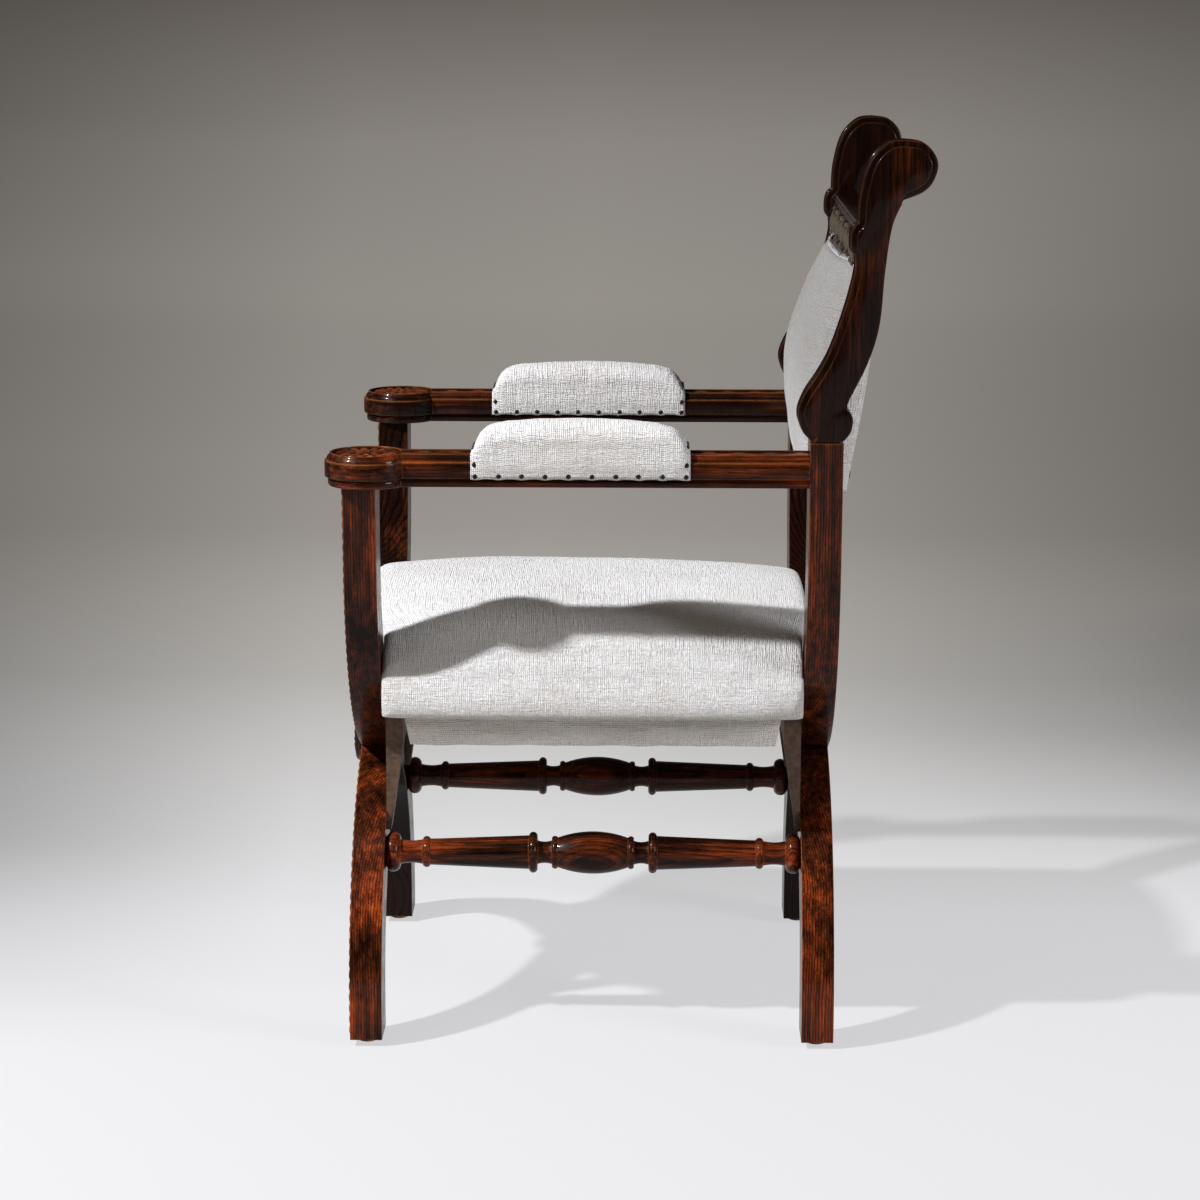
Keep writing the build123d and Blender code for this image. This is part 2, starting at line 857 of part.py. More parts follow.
def seat_rail(end):
    """Front or rear rail of the seat frame, lying on its bearer."""
    y = sorted((end * (inner_face - seat_side_gap), end * (inner_face - seat_side_gap - seat_rail_depth)))
    half = seat_rail_half_length
    rail = block((-half, half), y, (bearer_top, deck_height))
    for side in (1, -1):
        rail -= seat_tenons(side, glue_line)
    return rail


def dome(half_width, half_depth, low, side_edge, end_edge, crown, long_crown):
    """A cushion that is domed both ways, from its arches across and lengthwise."""
    reach = 4 * half_width

    def arch(half, edge, crown):
        return make_face([
            Polyline((-half, edge), (-half, low), (half, low), (half, edge)),
            ThreePointArc((-half, edge), (0, crown), (half, edge)),
        ])

    across = extrude(frontal(reach / 2) * arch(half_width, side_edge, crown), reach)
    lengthwise = extrude(sideways(-reach / 2) * arch(half_depth, end_edge, long_crown), reach)
    return across & lengthwise


def seat_dome(inset, low):
    """The seat's domed shape, made smaller all round by an inset."""
    return dome(
        seat_half_width - inset,
        inner_face - seat_side_gap - inset,
        low,
        seat_base + seat_side_rise - inset,
        seat_base + seat_end_rise - inset,
        seat_base + seat_crown_rise - inset,
        seat_base + seat_long_crown_rise - inset,
    )


def build_seat():
    """Seat frame, straps, stuffing and cloth."""
    add("seat_rail_front", seat_rail(-1))
    add("seat_rail_rear", seat_rail(1))
    add("seat_rail_left", seat_side_rail(1))
    add("seat_rail_right", seat_side_rail(-1))

    reach = inner_face - seat_side_gap - cloth_thickness - 2 * soft_gap
    half_length = seat_rail_half_length - soft_gap
    lengthwise, crosswise = [], []
    for index in range(seat_strap_count):
        shift = (index - (seat_strap_count - 1) / 2) * seat_strap_pitch
        span = (shift - seat_strap_width / 2, shift + seat_strap_width / 2)
        level = deck_height + seat_strap_thickness
        lengthwise.append(block(span, (-reach, reach), (deck_height, level)))
        crosswise.append(
            block((-half_length, half_length), span, (level, level + seat_strap_thickness))
        )
    add("seat_straps_lengthwise", Compound(children=lengthwise))
    add("seat_straps_crosswise", Compound(children=crosswise))

    half = seat_rail_half_length + soft_gap
    deck = deck_height + 2 * seat_strap_thickness + soft_gap
    deck_room = block((-half, half), (-inner_face, inner_face), (0, deck))
    rail_room = block((-half, half), (-inner_face, inner_face), (0, deck_height + soft_gap))
    add("seat_stuffing", seat_dome(cloth_thickness + soft_gap, seat_base) - deck_room)
    lining = seat_dome(cloth_thickness, seat_base - cloth_thickness)
    add("seat_cover", seat_dome(0, seat_base) - lining - rail_room)
    build_seat_trim()


def build_seat_trim():
    """Cloth strips on the side rails, their tacks and the cloth under the seat."""
    low = bearer_top - seat_side_rail_drop
    lower = inner_face - seat_side_rail_inset
    strip_face = make_face(Polyline(
        (-lower, bearer_top),
        (lower, bearer_top),
        (lower - seat_side_rail_bevel, low),
        (-lower + seat_side_rail_bevel, low),
        close=True,
    ))
    outside = seat_side_rail_place + seat_side_rail_thickness / 2
    tacks, holes = [], []
    for name, side in (("left", 1), ("right", -1)):
        start = outside if side > 0 else -outside - cloth_thickness
        surface = side * (outside + cloth_thickness)
        side_holes = []
        for end in (-1, 1):
            y = end * (lower - seat_tack_inset)
            z = bearer_top - seat_tack_drop
            tacks.append(tack((surface, y, z), (-side, 0, 0), 0))
            side_holes.append(tack((surface, y, z), (-side, 0, 0), glue_line))
        strip = extrude(sideways(start) * strip_face, cloth_thickness)
        holes = Compound(children=side_holes)
        add(f"seat_side_cloth_{name}", strip - holes)
        chair[f"seat_rail_{name}"] -= holes
    add("seat_tacks", Compound(children=tacks))

    half = seat_side_rail_place - seat_side_rail_thickness / 2 - soft_gap
    reach = inner_face - bearer_thickness - back_gap
    span = (bearer_top - cloth_thickness, bearer_top)
    add("seat_bottom_cloth", block((-half, half), (-reach, reach), span))


# Feet --------------------------------------------------------------------------

def build_feet():
    """Felt pad under each foot."""
    for end_name, end in (("front", -1), ("rear", 1)):
        for side_name, side in (("left", 1), ("right", -1)):
            x, y = side * leg_x(pad_height), end * post_centre_y
            pad = rod((x, y, 0), (x, y, pad_height), pad_diameter / 2)
            add(f"foot_pad_{end_name}_{side_name}", pad)


build_frames()
build_stretchers()
build_arms()
build_back()
build_outside_back()
build_bearers()
build_seat()
build_feet()

boxes = [shape.bounding_box() for shape in chair.values()]
depth_middle = (min(box.min.Y for box in boxes) + max(box.max.Y for box in boxes)) / 2

os.makedirs("parts", exist_ok=True)
for name, shape in chair.items():
    export_step(Pos(0, -depth_middle, 0) * shape, f"parts/{name}.step")
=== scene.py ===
# %% [markdown]
# # A stuffed armchair with crossed legs
# The chair stands on four curved pieces of oak that cross in pairs, one pair at the front and one
# at the rear. The rigid frame was drawn in CAD, to real size, and is loaded here as it is. This
# lesson gives it what CAD leaves out: carving, turned-over cloth, stuffing, nails, varnish and light.
# Everything is in metres: +X is the sitter's left, the chair faces -Y, and +Z is up.

# %% Load the frame of the chair
import math

import bmesh
import bpy
from mathutils import Matrix, Vector, noise


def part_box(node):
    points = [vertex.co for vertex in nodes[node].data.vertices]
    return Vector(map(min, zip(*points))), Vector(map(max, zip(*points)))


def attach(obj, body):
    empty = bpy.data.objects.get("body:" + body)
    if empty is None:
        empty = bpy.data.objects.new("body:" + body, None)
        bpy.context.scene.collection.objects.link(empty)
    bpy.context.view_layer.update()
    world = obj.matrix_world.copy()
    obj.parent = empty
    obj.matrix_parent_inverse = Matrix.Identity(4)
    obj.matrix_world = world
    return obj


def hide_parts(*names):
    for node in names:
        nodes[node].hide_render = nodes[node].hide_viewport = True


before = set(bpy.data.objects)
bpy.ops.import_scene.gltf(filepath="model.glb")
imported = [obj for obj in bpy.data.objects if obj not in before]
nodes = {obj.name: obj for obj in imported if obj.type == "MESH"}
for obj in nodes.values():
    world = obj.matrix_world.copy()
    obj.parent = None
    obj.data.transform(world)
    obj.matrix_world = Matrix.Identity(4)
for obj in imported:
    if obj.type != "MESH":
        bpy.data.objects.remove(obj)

noise.seed_set(4)
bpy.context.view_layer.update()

# %% [markdown]
# ## The camera
# The chair is seen square from its left side, from nearly four metres away and a little above.
# A long lens that far off keeps the near and far sides almost the same size. The camera is placed
# by three small angles, turned into the three directions that Blender's camera needs.

# %% The camera
camera_yaw, camera_tilt, camera_roll = 0.0138, 0.1974, 0.0018
camera_place = Vector((3.8376, 0.0192, 1.2418))

forward = Vector((
    -math.cos(camera_yaw) * math.cos(camera_tilt),
    -math.sin(camera_yaw) * math.cos(camera_tilt),
    -math.sin(camera_tilt),
))
level = Vector((-math.sin(camera_yaw), math.cos(camera_yaw), 0))
upward = level.cross(forward)
across = math.cos(camera_roll) * level + math.sin(camera_roll) * upward
upward = math.cos(camera_roll) * upward - math.sin(camera_roll) * level

camera_data = bpy.data.cameras.new("camera")
camera_data.sensor_width = 36
camera_data.lens = 96.92
camera = bpy.data.objects.new("camera", camera_data)
camera.matrix_world = Matrix.Translation(camera_place) @ Matrix(
    (across, upward, -forward)
).transposed().to_4x4()
bpy.context.scene.collection.objects.link(camera)
bpy.context.scene.camera = camera
bpy.context.scene.view_settings.view_transform = "Standard"
print("camera with a", camera_data.lens, "mm lens")

# %% [markdown]
# ## Small helpers for node trees
# A material is a tree of nodes. A few helpers keep the recipes below short: one adds a node and
# fills its sockets, and the others add a sum, a noise, a stretched pattern, a run of colours or a
# mix of two. The recipes could be wired by hand in the shader editor, but here they can be read.

# %% Helpers for node trees
def add_node(tree, kind, inputs=None, **settings):
    """Add a node, set its options, and fill sockets with numbers or with other sockets."""
    made = tree.nodes.new(kind)
    for key, value in settings.items():
        setattr(made, key, value)
    for key, value in (inputs or {}).items():
        if isinstance(value, bpy.types.NodeSocket):
            tree.links.new(value, made.inputs[key])
        else:
            made.inputs[key].default_value = value
    return made


def sum_node(tree, operation, first, second=0.0):
    """One step of arithmetic on two values."""
    return add_node(tree, "ShaderNodeMath", {0: first, 1: second}, operation=operation).outputs[0]


def noise_node(tree, place, scale, detail, roughness=0.5, **sockets):
    """The outputs of a noise laid over places: first a value, then a colour."""
    return add_node(tree, "ShaderNodeTexNoise", {
        "Vector": place, "Scale": scale, "Detail": detail, "Roughness": roughness, **sockets,
    }).outputs


def scaled_place(tree, place, scale, **sockets):
    """Places scaled along each direction, which stretches the pattern that is laid on them."""
    return add_node(tree, "ShaderNodeMapping", {
        "Vector": place, "Scale": scale, **sockets,
    }).outputs[0]


def colour_steps(tree, value, stops):
    """Colours laid along a value from 0 to 1."""
    made = add_node(tree, "ShaderNodeValToRGB", {0: value})
    elements = made.color_ramp.elements
    for element, (place, colour) in zip(elements, (stops[0], stops[-1])):
        element.position, element.color = place, (*colour, 1)
    for place, colour in stops[1:-1]:
        elements.new(place).color = (*colour, 1)
    return made.outputs[0]


def mix_colours(tree, amount, first, second, blend="MIX"):
    """Two colours mixed by an amount."""
    made = add_node(tree, "ShaderNodeMix", {0: amount}, data_type="RGBA", blend_type=blend)
    for socket, value in ((made.inputs[6], first), (made.inputs[7], second)):
        if isinstance(value, bpy.types.NodeSocket):
            tree.links.new(value, socket)
        else:
            socket.default_value = (*value, 1)
    return made.outputs[2]


def new_material(name):
    """An empty material with its shader and output."""
    material = bpy.data.materials.new(name)
    material.use_nodes = True
    tree = material.node_tree
    tree.nodes.clear()
    shader = add_node(tree, "ShaderNodeBsdfPrincipled")
    add_node(tree, "ShaderNodeOutputMaterial", {"Surface": shader.outputs[0]})
    return material, tree, shader


wave_length = 0.314
print("node helpers ready; a wave of scale 1 repeats every", wave_length, "m")

# %% [markdown]
# ## Varnished oak
# Old oak that was stained nearly black and polished. Oak has rings of open pores, so each year
# shows as a sharp dark line with short dashes. The recipe builds that in three layers: rings
# around an axis that leans a little from the piece's length, so they open into arches on a flat
# face; fine pores stretched along the grain; and broad clouds where the stain has worn to red and
# orange. A Bevel node finds the edges, where hands have rubbed the stain away and rounded the wood.
# The boards on the right-hand side are darkened, so their tone falls off with X: this is painted
# shade for the shadow the chair throws on its far side.

# %% Rings, tone and rubbed edges of the oak
oak_dark = (0.0095, 0.0026, 0.0014)
oak_brown = (0.056, 0.0125, 0.0038)
oak_red = (0.19, 0.031, 0.007)
oak_orange = (0.52, 0.112, 0.018)
# The last of these colours is painted shade for carved low places; the middle one greys carved tips as dust
# and a painted highlight.
rubbed_oak, dust_and_highlight_grey, painted_recess_shade = (0.4, 0.15, 0.04), (0.13, 0.105, 0.08), (0.004, 0.002, 0.0014)
tone_middle = 1.175
edge_rounding = 0.0022


def oak_rings(tree, laid, shift, pitch):
    """Year rings round an axis that leans a little from the length of the wood."""
    leaned = scaled_place(tree, laid, (1, 1, 0.1), Location=shift, Rotation=(0.012, 0.02, 0))
    return add_node(tree, "ShaderNodeTexWave", {
        "Vector": leaned, "Scale": wave_length / pitch, "Distortion": 11.0, "Detail": 3.0,
        "Detail Scale": 0.22, "Detail Roughness": 0.6,
    }, wave_type="RINGS", rings_direction="Z", wave_profile="SAW").outputs[1]


def painted_far_side_shade(tree, place, most):
    """Painted shade that grows from the chair's middle to its right-hand side."""
    across = add_node(tree, "ShaderNodeSeparateXYZ", {0: place}).outputs["X"]
    near = sum_node(tree, "MULTIPLY", sum_node(tree, "ADD", across, 0.06), 8.0)
    near = sum_node(tree, "MINIMUM", sum_node(tree, "MAXIMUM", near, 0.0), 1.0)
    return sum_node(tree, "MULTIPLY", sum_node(tree, "SUBTRACT", 1.0, near), most)


def rubbed_edges(tree, smudges):
    """The rounded normal of the wood, and how far the stain is rubbed away at its edges."""
    true_normal = add_node(tree, "ShaderNodeNewGeometry").outputs["Normal"]
    rounded = add_node(tree, "ShaderNodeBevel", {"Radius": edge_rounding}, samples=4).outputs[0]
    facing = add_node(tree, "ShaderNodeVectorMath", {0: rounded, 1: true_normal}, operation="DOT_PRODUCT")
    edge = sum_node(tree, "SUBTRACT", 1.0, facing.outputs["Value"])
    rubbed = sum_node(tree, "MULTIPLY", edge, sum_node(tree, "MULTIPLY", smudges, 3.0))
    return rounded, sum_node(tree, "MINIMUM", rubbed, 0.7)


print("edges rounded by", edge_rounding, "m")

# %% Varnished oak
def oak(name, grain, shift, pitch, worn, lines=0.82, dust=0.0, far_side_shade=0.0):
    """Polished oak; shift moves the heart, worn lightens or darkens, the far-side amount is painted shade,
    dust greys tips with dust and painted highlight.
    """
    material, tree, shader = new_material(name)
    place = add_node(tree, "ShaderNodeTexCoord").outputs["Object"]
    lay_down = {"X": (0, math.pi / 2, 0), "Y": (math.pi / 2, 0, 0), "Z": (0, 0, 0)}[grain]
    laid = scaled_place(tree, place, (1, 1, 1), Rotation=lay_down)
    rings = oak_rings(tree, laid, shift, pitch)
    stretched = scaled_place(tree, laid, (1, 1, 0.04), Location=shift)
    pores = noise_node(tree, stretched, 1000.0, 2.0, 0.6)[0]
    streaks = noise_node(tree, stretched, 160.0, 4.0, 0.65)[0]
    drawn_out = scaled_place(tree, laid, (1, 1, 0.3), Location=shift)
    clouds = noise_node(tree, drawn_out, 16.0, 2.0, 0.62, Distortion=0.5)[0]
    smudges = noise_node(tree, place, 55.0, 5.0, 0.7)[0]

    tone = sum_node(tree, "ADD", clouds, streaks)
    tone = sum_node(tree, "ADD", tone, sum_node(tree, "MULTIPLY", smudges, 0.2))
    tone = sum_node(tree, "ADD", tone, worn - tone_middle)
    # Painted shade: the boards on the chair's right-hand side are darkened.
    if far_side_shade:
        tone = sum_node(tree, "ADD", tone, painted_far_side_shade(tree, place, far_side_shade))
    wood = colour_steps(tree, tone, [
        (0.08, oak_dark), (0.3, oak_brown), (0.5, oak_red), (0.78, oak_orange),
    ])
    late = colour_steps(tree, rings, [
        (0.0, (0.03, 0.025, 0.025)), (0.2, (0.2, 0.17, 0.16)),
        (0.42, (0.95, 0.95, 0.95)), (1.0, (1.25, 1.2, 1.1)),
    ])
    wood = mix_colours(tree, lines, wood, late, "MULTIPLY")
    dashes = colour_steps(tree, pores, [(0.37, (0.08, 0.07, 0.07)), (0.47, (1, 1, 1))])
    wood = mix_colours(tree, 0.75, wood, dashes, "MULTIPLY")
    rounded, rubbed = rubbed_edges(tree, smudges)
    wood = mix_colours(tree, rubbed, wood, rubbed_oak)
    # Dust and a painted highlight: the raised tips are greyed.
    if dust:
        raised = add_node(tree, "ShaderNodeAttribute", attribute_name="raised").outputs["Fac"]
        wood = mix_colours(tree, sum_node(tree, "MULTIPLY", raised, dust), wood, dust_and_highlight_grey)
    # Painted shade: the carving's low places are darkened.
    recess = add_node(tree, "ShaderNodeAttribute", attribute_name="recess").outputs["Fac"]
    wood = mix_colours(tree, recess, wood, painted_recess_shade)
    tree.links.new(wood, shader.inputs["Base Color"])

    polish = colour_steps(tree, smudges, [(0.35, (0.2,) * 3), (0.65, (0.38,) * 3)])
    tree.links.new(polish, shader.inputs["Roughness"])
    shader.inputs["Coat Weight"].default_value = 0.16
    shader.inputs["Coat Roughness"].default_value = 0.09
    shader.inputs["Specular IOR Level"].default_value = 0.05
    height = sum_node(tree, "ADD", sum_node(tree, "MULTIPLY", rings, 0.4), pores)
    bump = add_node(tree, "ShaderNodeBump", {
        "Height": height, "Strength": 0.3, "Distance": 0.0004, "Normal": rounded,
    }).outputs[0]
    tree.links.new(bump, shader.inputs["Normal"])
    return material


# The far-side amounts darken the right-hand side as painted shade.
front_oak = oak("front_oak", "Z", (-0.25, 0.12, 0.2), 0.0032, 0.33, far_side_shade=-0.3)
rear_oak = oak("rear_oak", "Z", (-0.255, -0.04, 0.9), 0.0032, 0.33, far_side_shade=-0.3)
back_oak = oak("back_oak", "Z", (-0.17, -0.19, 0.5), 0.006, 0.14, 0.5, far_side_shade=-0.2)
arm_oak = oak("arm_oak", "Y", (-0.18, -0.6, 0.1), 0.0065, 0.3, 0.55, far_side_shade=-0.1)
carved_oak = oak("carved_oak", "Y", (-0.18, -0.6, 0.1), 0.0065, 0.45, 0.3)
turned_oak = oak("turned_oak", "Y", (0.02, 0.27, 0.8), 0.0034, 0.36, 0.7)
# The crest's last number greys its carved tips with dust and a painted highlight.
crest_oak = oak("crest_oak", "X", (0.16, 0.3, 0.3), 0.0035, -0.05, 0.6, 0.85)
print("seven boards of oak")

# %% [markdown]
# ## Coarse linen
# The cover is a hand-woven, unbleached linen. Its look comes from thick and thin threads, the
# slubs, more than from its weave. The threads follow the cloth, so the recipe reads the piece's
# own UV map, which holds metres along and across the cloth. Two waves make the threads, pushed
# a little off their line; two stretched noises swell them into slubs; the last ones add fuzz and
# the grey and tan flecks of the flax.

# %% Coarse linen
thread_pitch = 0.0022
linen_white = (0.71, 0.715, 0.745)
linen_grey = (0.44, 0.4, 0.34)


def linen(name, painted_brightness=1.0):
    """Slubby linen laid along the piece's own UV map; its white is scaled up or down as painted light or
    shade.
    """
    material, tree, shader = new_material(name)
    cloth = add_node(tree, "ShaderNodeUVMap", uv_map="cloth").outputs[0]
    drift = noise_node(tree, cloth, 70.0, 5.0, 0.6)[1]
    moved = add_node(tree, "ShaderNodeVectorMath", {0: drift, 1: (thread_pitch,) * 3}, operation="MULTIPLY")
    moved = add_node(tree, "ShaderNodeVectorMath", {0: cloth, 1: moved.outputs[0]}).outputs[0]
    raised, slubs = [], []
    for direction, stretch in (("X", (1, 0.11, 1)), ("Y", (0.11, 1, 1))):
        threads = add_node(tree, "ShaderNodeTexWave", {
            "Vector": moved, "Scale": wave_length / thread_pitch, "Distortion": 0.8,
            "Detail Scale": 0.5,
        }, wave_type="BANDS", bands_direction=direction).outputs[1]
        slub = noise_node(tree, scaled_place(tree, moved, stretch), 480.0, 2.0, 0.6)[0]
        slub = colour_steps(tree, slub, [(0.34, (0,) * 3), (0.66, (1,) * 3)])
        raised.append(sum_node(tree, "MULTIPLY", threads, sum_node(tree, "ADD", slub, 0.25)))
        slubs.append(slub)
    height = sum_node(tree, "MAXIMUM", raised[0], raised[1])
    thick = sum_node(tree, "MULTIPLY", slubs[0], slubs[1])
    fuzz = noise_node(tree, cloth, 1300.0, 2.0)[0]
    soil = noise_node(tree, cloth, 9.0, 4.0)[0]
    specks = noise_node(tree, moved, 330.0, 3.0, 0.75)[0]

    white = tuple(painted_brightness * part for part in linen_white)
    # Painted shade: the colour darkens in the low places between threads.
    painted_valley_shade = colour_steps(tree, sum_node(tree, "MULTIPLY", height, 0.8), [
        (0.04, (0.56, 0.53, 0.49)), (0.3, (0.86, 0.85, 0.83)), (0.6, (1, 1, 1)),
    ])
    flecks = colour_steps(tree, specks, [(0.66, (0,) * 3), (0.72, (0.6,) * 3)])
    colour = mix_colours(tree, flecks, white, linen_grey)
    colour = mix_colours(tree, 0.8, colour, painted_valley_shade, "MULTIPLY")
    faded = colour_steps(tree, soil, [(0.35, (0.94, 0.925, 0.9)), (0.6, (1, 1, 1))])
    colour = mix_colours(tree, 1.0, colour, faded, "MULTIPLY")
    tree.links.new(colour, shader.inputs["Base Color"])
    shader.inputs["Roughness"].default_value = 0.92
    shader.inputs["Sheen Weight"].default_value = 0.2
    shader.inputs["Specular IOR Level"].default_value = 0.2
    relief = sum_node(tree, "ADD", height, sum_node(tree, "MULTIPLY", thick, 1.3))
    relief = sum_node(tree, "ADD", relief, sum_node(tree, "MULTIPLY", fuzz, 0.35))
    bump = add_node(tree, "ShaderNodeBump", {"Height": relief, "Strength": 0.9, "Distance": 0.0011})
    tree.links.new(bump.outputs[0], shader.inputs["Normal"])
    return material


seat_linen = linen("seat_linen")
pad_linen = linen("pad_linen")
# The back's linen is darkened as painted shade; the outside of the back and the strips below the seat are
# lightened as painted light.
back_linen = linen("back_linen", 0.8)
outside_linen = linen("outside_linen", 1.12)
strip_linen = linen("strip_linen", 1.17)
print("five lengths of linen")

# %% [markdown]
# ## The smaller finishes
# Blackened nails, felt under the feet, bare beech inside, rough oak for the seat's bearers, raw
# thread, jute straps and steel screws. Each is a plain shader with one noise that wanders between
# two tones, because even a nail head has worn spots.

# %% Nails, felt, beech, rough oak, thread, jute and screws
def simple_finish(name, low, high, scale, roughness, metallic=0.0, bump=0.2, stretch=(1, 1, 1)):
    """A finish whose colour wanders between two tones."""
    material, tree, shader = new_material(name)
    place = add_node(tree, "ShaderNodeTexCoord").outputs["Object"]
    grain = noise_node(tree, scaled_place(tree, place, stretch), scale, 4.0, 0.65)[0]
    colour = colour_steps(tree, grain, [(0.35, low), (0.65, high)])
    tree.links.new(colour, shader.inputs["Base Color"])
    shader.inputs["Roughness"].default_value = roughness
    shader.inputs["Metallic"].default_value = metallic
    relief = add_node(tree, "ShaderNodeBump", {"Height": grain, "Strength": bump, "Distance": 0.0004})
    tree.links.new(relief.outputs[0], shader.inputs["Normal"])
    return material


black_nail = simple_finish("black_nail", (0.004, 0.004, 0.005), (0.016, 0.015, 0.016), 900.0, 0.32, 0.6)
pale_felt = simple_finish("pale_felt", (0.45, 0.24, 0.1), (0.66, 0.42, 0.22), 700.0, 0.85, 0.0, 0.6)
bare_beech = simple_finish("bare_beech", (0.2, 0.12, 0.06), (0.34, 0.21, 0.11), 160.0, 0.7,
                           bump=0.25, stretch=(1, 0.08, 1))
rough_oak = simple_finish("rough_oak", (0.03, 0.014, 0.008), (0.1, 0.052, 0.028), 150.0, 0.62,
                          bump=0.3, stretch=(0.1, 1, 1))
raw_thread = simple_finish("raw_thread", (0.46, 0.45, 0.45), (0.66, 0.65, 0.66), 900.0, 0.9)
jute = simple_finish("jute", (0.17, 0.115, 0.055), (0.36, 0.26, 0.14), 520.0, 0.95, 0.0, 0.8, (1, 0.25, 1))
plain_steel = simple_finish("plain_steel", (0.2, 0.19, 0.18), (0.42, 0.41, 0.4), 500.0, 0.4, 1.0)
print("seven smaller finishes")

# %% [markdown]
# ## Finishes for the pieces that CAD already has right
# The crossed members, the turned stretchers, the rails, straps and screws keep their CAD shape.
# Each only gets its material, put in the slots of its own object.

# %% Put finishes on the CAD pieces
def finish_nodes(material, *names):
    """Give CAD pieces a finish without touching their shape."""
    for name in names:
        for material_slot in nodes[name].material_slots:
            material_slot.material = material


finish_nodes(front_oak, "front_member_left", "front_member_right", "crossing_pegs")
finish_nodes(rear_oak, "rear_member_left", "rear_member_right", "upright_dowels", "crest_dowels")
finish_nodes(turned_oak, "stretcher_left", "stretcher_right")
finish_nodes(rough_oak, "bearer_front", "bearer_rear", "bearer_brackets")
finish_nodes(bare_beech, "seat_rail_front", "seat_rail_rear", "seat_rail_left",
             "seat_rail_right", "back_bottom_rail")
finish_nodes(jute, "seat_straps_lengthwise", "seat_straps_crosswise", "back_straps")
finish_nodes(black_nail, "seat_tacks", "back_tacks")
finish_nodes(plain_steel, "bearer_screws")
print("CAD pieces finished")

# %% [markdown]
# ## Helpers for meshes
# Most pieces below are either lofts, a row of matching rings joined side to side, or panels, a
# grid of points with a height. Both end in the same helpers, which merge doubles, turn the faces
# outwards and mark the sharp edges, so that the varnish shows a clean line at each arris.

# %% Helpers for meshes
def turn_outwards(mesh, join=0.0):
    """Turn the faces of a mesh outwards, after joining the points that lie together."""
    shape = bmesh.new()
    shape.from_mesh(mesh)
    if join:
        bmesh.ops.remove_doubles(shape, verts=shape.verts, dist=join)
    bmesh.ops.recalc_face_normals(shape, faces=shape.faces)
    shape.to_mesh(mesh)
    shape.free()


def place_mesh(name, mesh, material, sharp=None):
    """Put a smooth mesh into the scene, with lines where its faces turn by more than an angle."""
    mesh.polygons.foreach_set("use_smooth", [True] * len(mesh.polygons))
    if sharp:
        mesh.set_sharp_from_angle(angle=math.radians(sharp))
    mesh.materials.append(material)
    made = bpy.data.objects.new(name, mesh)
    bpy.context.scene.collection.objects.link(made)
    return made


def build_piece(name, points, faces, material, sharp=38, marks=None):
    """Make an object from points and faces, riding on the chair's only body."""
    mesh = bpy.data.meshes.new(name)
    mesh.from_pydata([tuple(point) for point in points], [], faces)
    if marks:
        layer = mesh.attributes.new("recess", "FLOAT", "POINT")
        layer.data.foreach_set("value", marks)
    turn_outwards(mesh, join=1e-6)
    made = place_mesh(name, mesh, material, sharp)
    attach(made, "root")
    return made


def loft_faces(rings, around, closed=True, caps=True):
    """Faces between rings of equal length, with the two end rings filled in."""
    faces = []
    for ring in range(rings - 1):
        for index in range(around if closed else around - 1):
            after = (index + 1) % around
            low, high = ring * around, (ring + 1) * around
            faces.append((low + index, low + after, high + after, high + index))
    if caps:
        faces.append(tuple(reversed(range(around))))
        faces.append(tuple((rings - 1) * around + index for index in range(around)))
    return faces


def round_places(count):
    """Angles of evenly spaced places round a circle."""
    return [2 * math.pi * step / count for step in range(count)]


def smooth_path(points, steps):
    """A smooth line through points, with a few steps from each to the next."""
    line = []
    count = len(points)
    for index in range(count - 1):
        before = points[max(index - 1, 0)]
        start, end = points[index], points[index + 1]
        after = points[min(index + 2, count - 1)]
        for step in range(steps):
            t = step / steps
            line.append(tuple(
                0.5 * (2 * b + (c - a) * t + (2 * a - 5 * b + 4 * c - d) * t**2
                       + (3 * b - a - 3 * c + d) * t**3)
                for a, b, c, d in zip(before, start, end, after)
            ))
    line.append(tuple(points[-1]))
    return line


def ease(value, low, high):
    """0 below low, 1 above high, and a smooth rise between."""
    t = min(max((value - low) / (high - low), 0.0), 1.0)
    return t * t * (3 - 2 * t)


mm = 0.001
print("mesh helpers ready")

# %% [markdown]
# ## The arms
# Seen from above an arm is a keyhole: a round grip at the front and a straight bar behind it. A
# joiner runs one moulding all the way round: a bead below, a flat fascia, then an ogee up to a
# raised rim. The mesh does the same. The moulding is a list of insets and heights, and each makes
# one ring by shrinking the keyhole, so the corners where the bar meets the disc stay crisp.

# %% The moulded arms
arm_low, arm_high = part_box("arm_left")
arm_side = (arm_low.x + arm_high.x) / 2
disc_radius, bar_half = 0.048, 0.025
disc_place = arm_low.y + disc_radius
rear_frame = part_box("rear_member_left")[0].y
arm_moulding = [
    (5.0, 0.0), (4.3, 0.5), (3.8, 1.6), (3.6, 3.4), (3.6, 5.6), (3.9, 7.4), (4.6, 8.6), (5.4, 9.1),
    (5.4, 9.6), (1.2, 9.7), (0.35, 10.1), (0.05, 11.0), (0.0, 12.5), (0.0, 27.3), (0.2, 28.2),
    (0.9, 28.6), (1.9, 28.7), (2.0, 29.4), (2.3, 30.9), (3.0, 32.4), (4.2, 33.8), (5.2, 34.7),
    (5.6, 35.6), (5.8, 36.5), (6.1, 37.0), (6.4, 37.1), (7.5, 37.1), (7.9, 36.8), (8.1, 35.6),
    (8.2, 32.5),
]


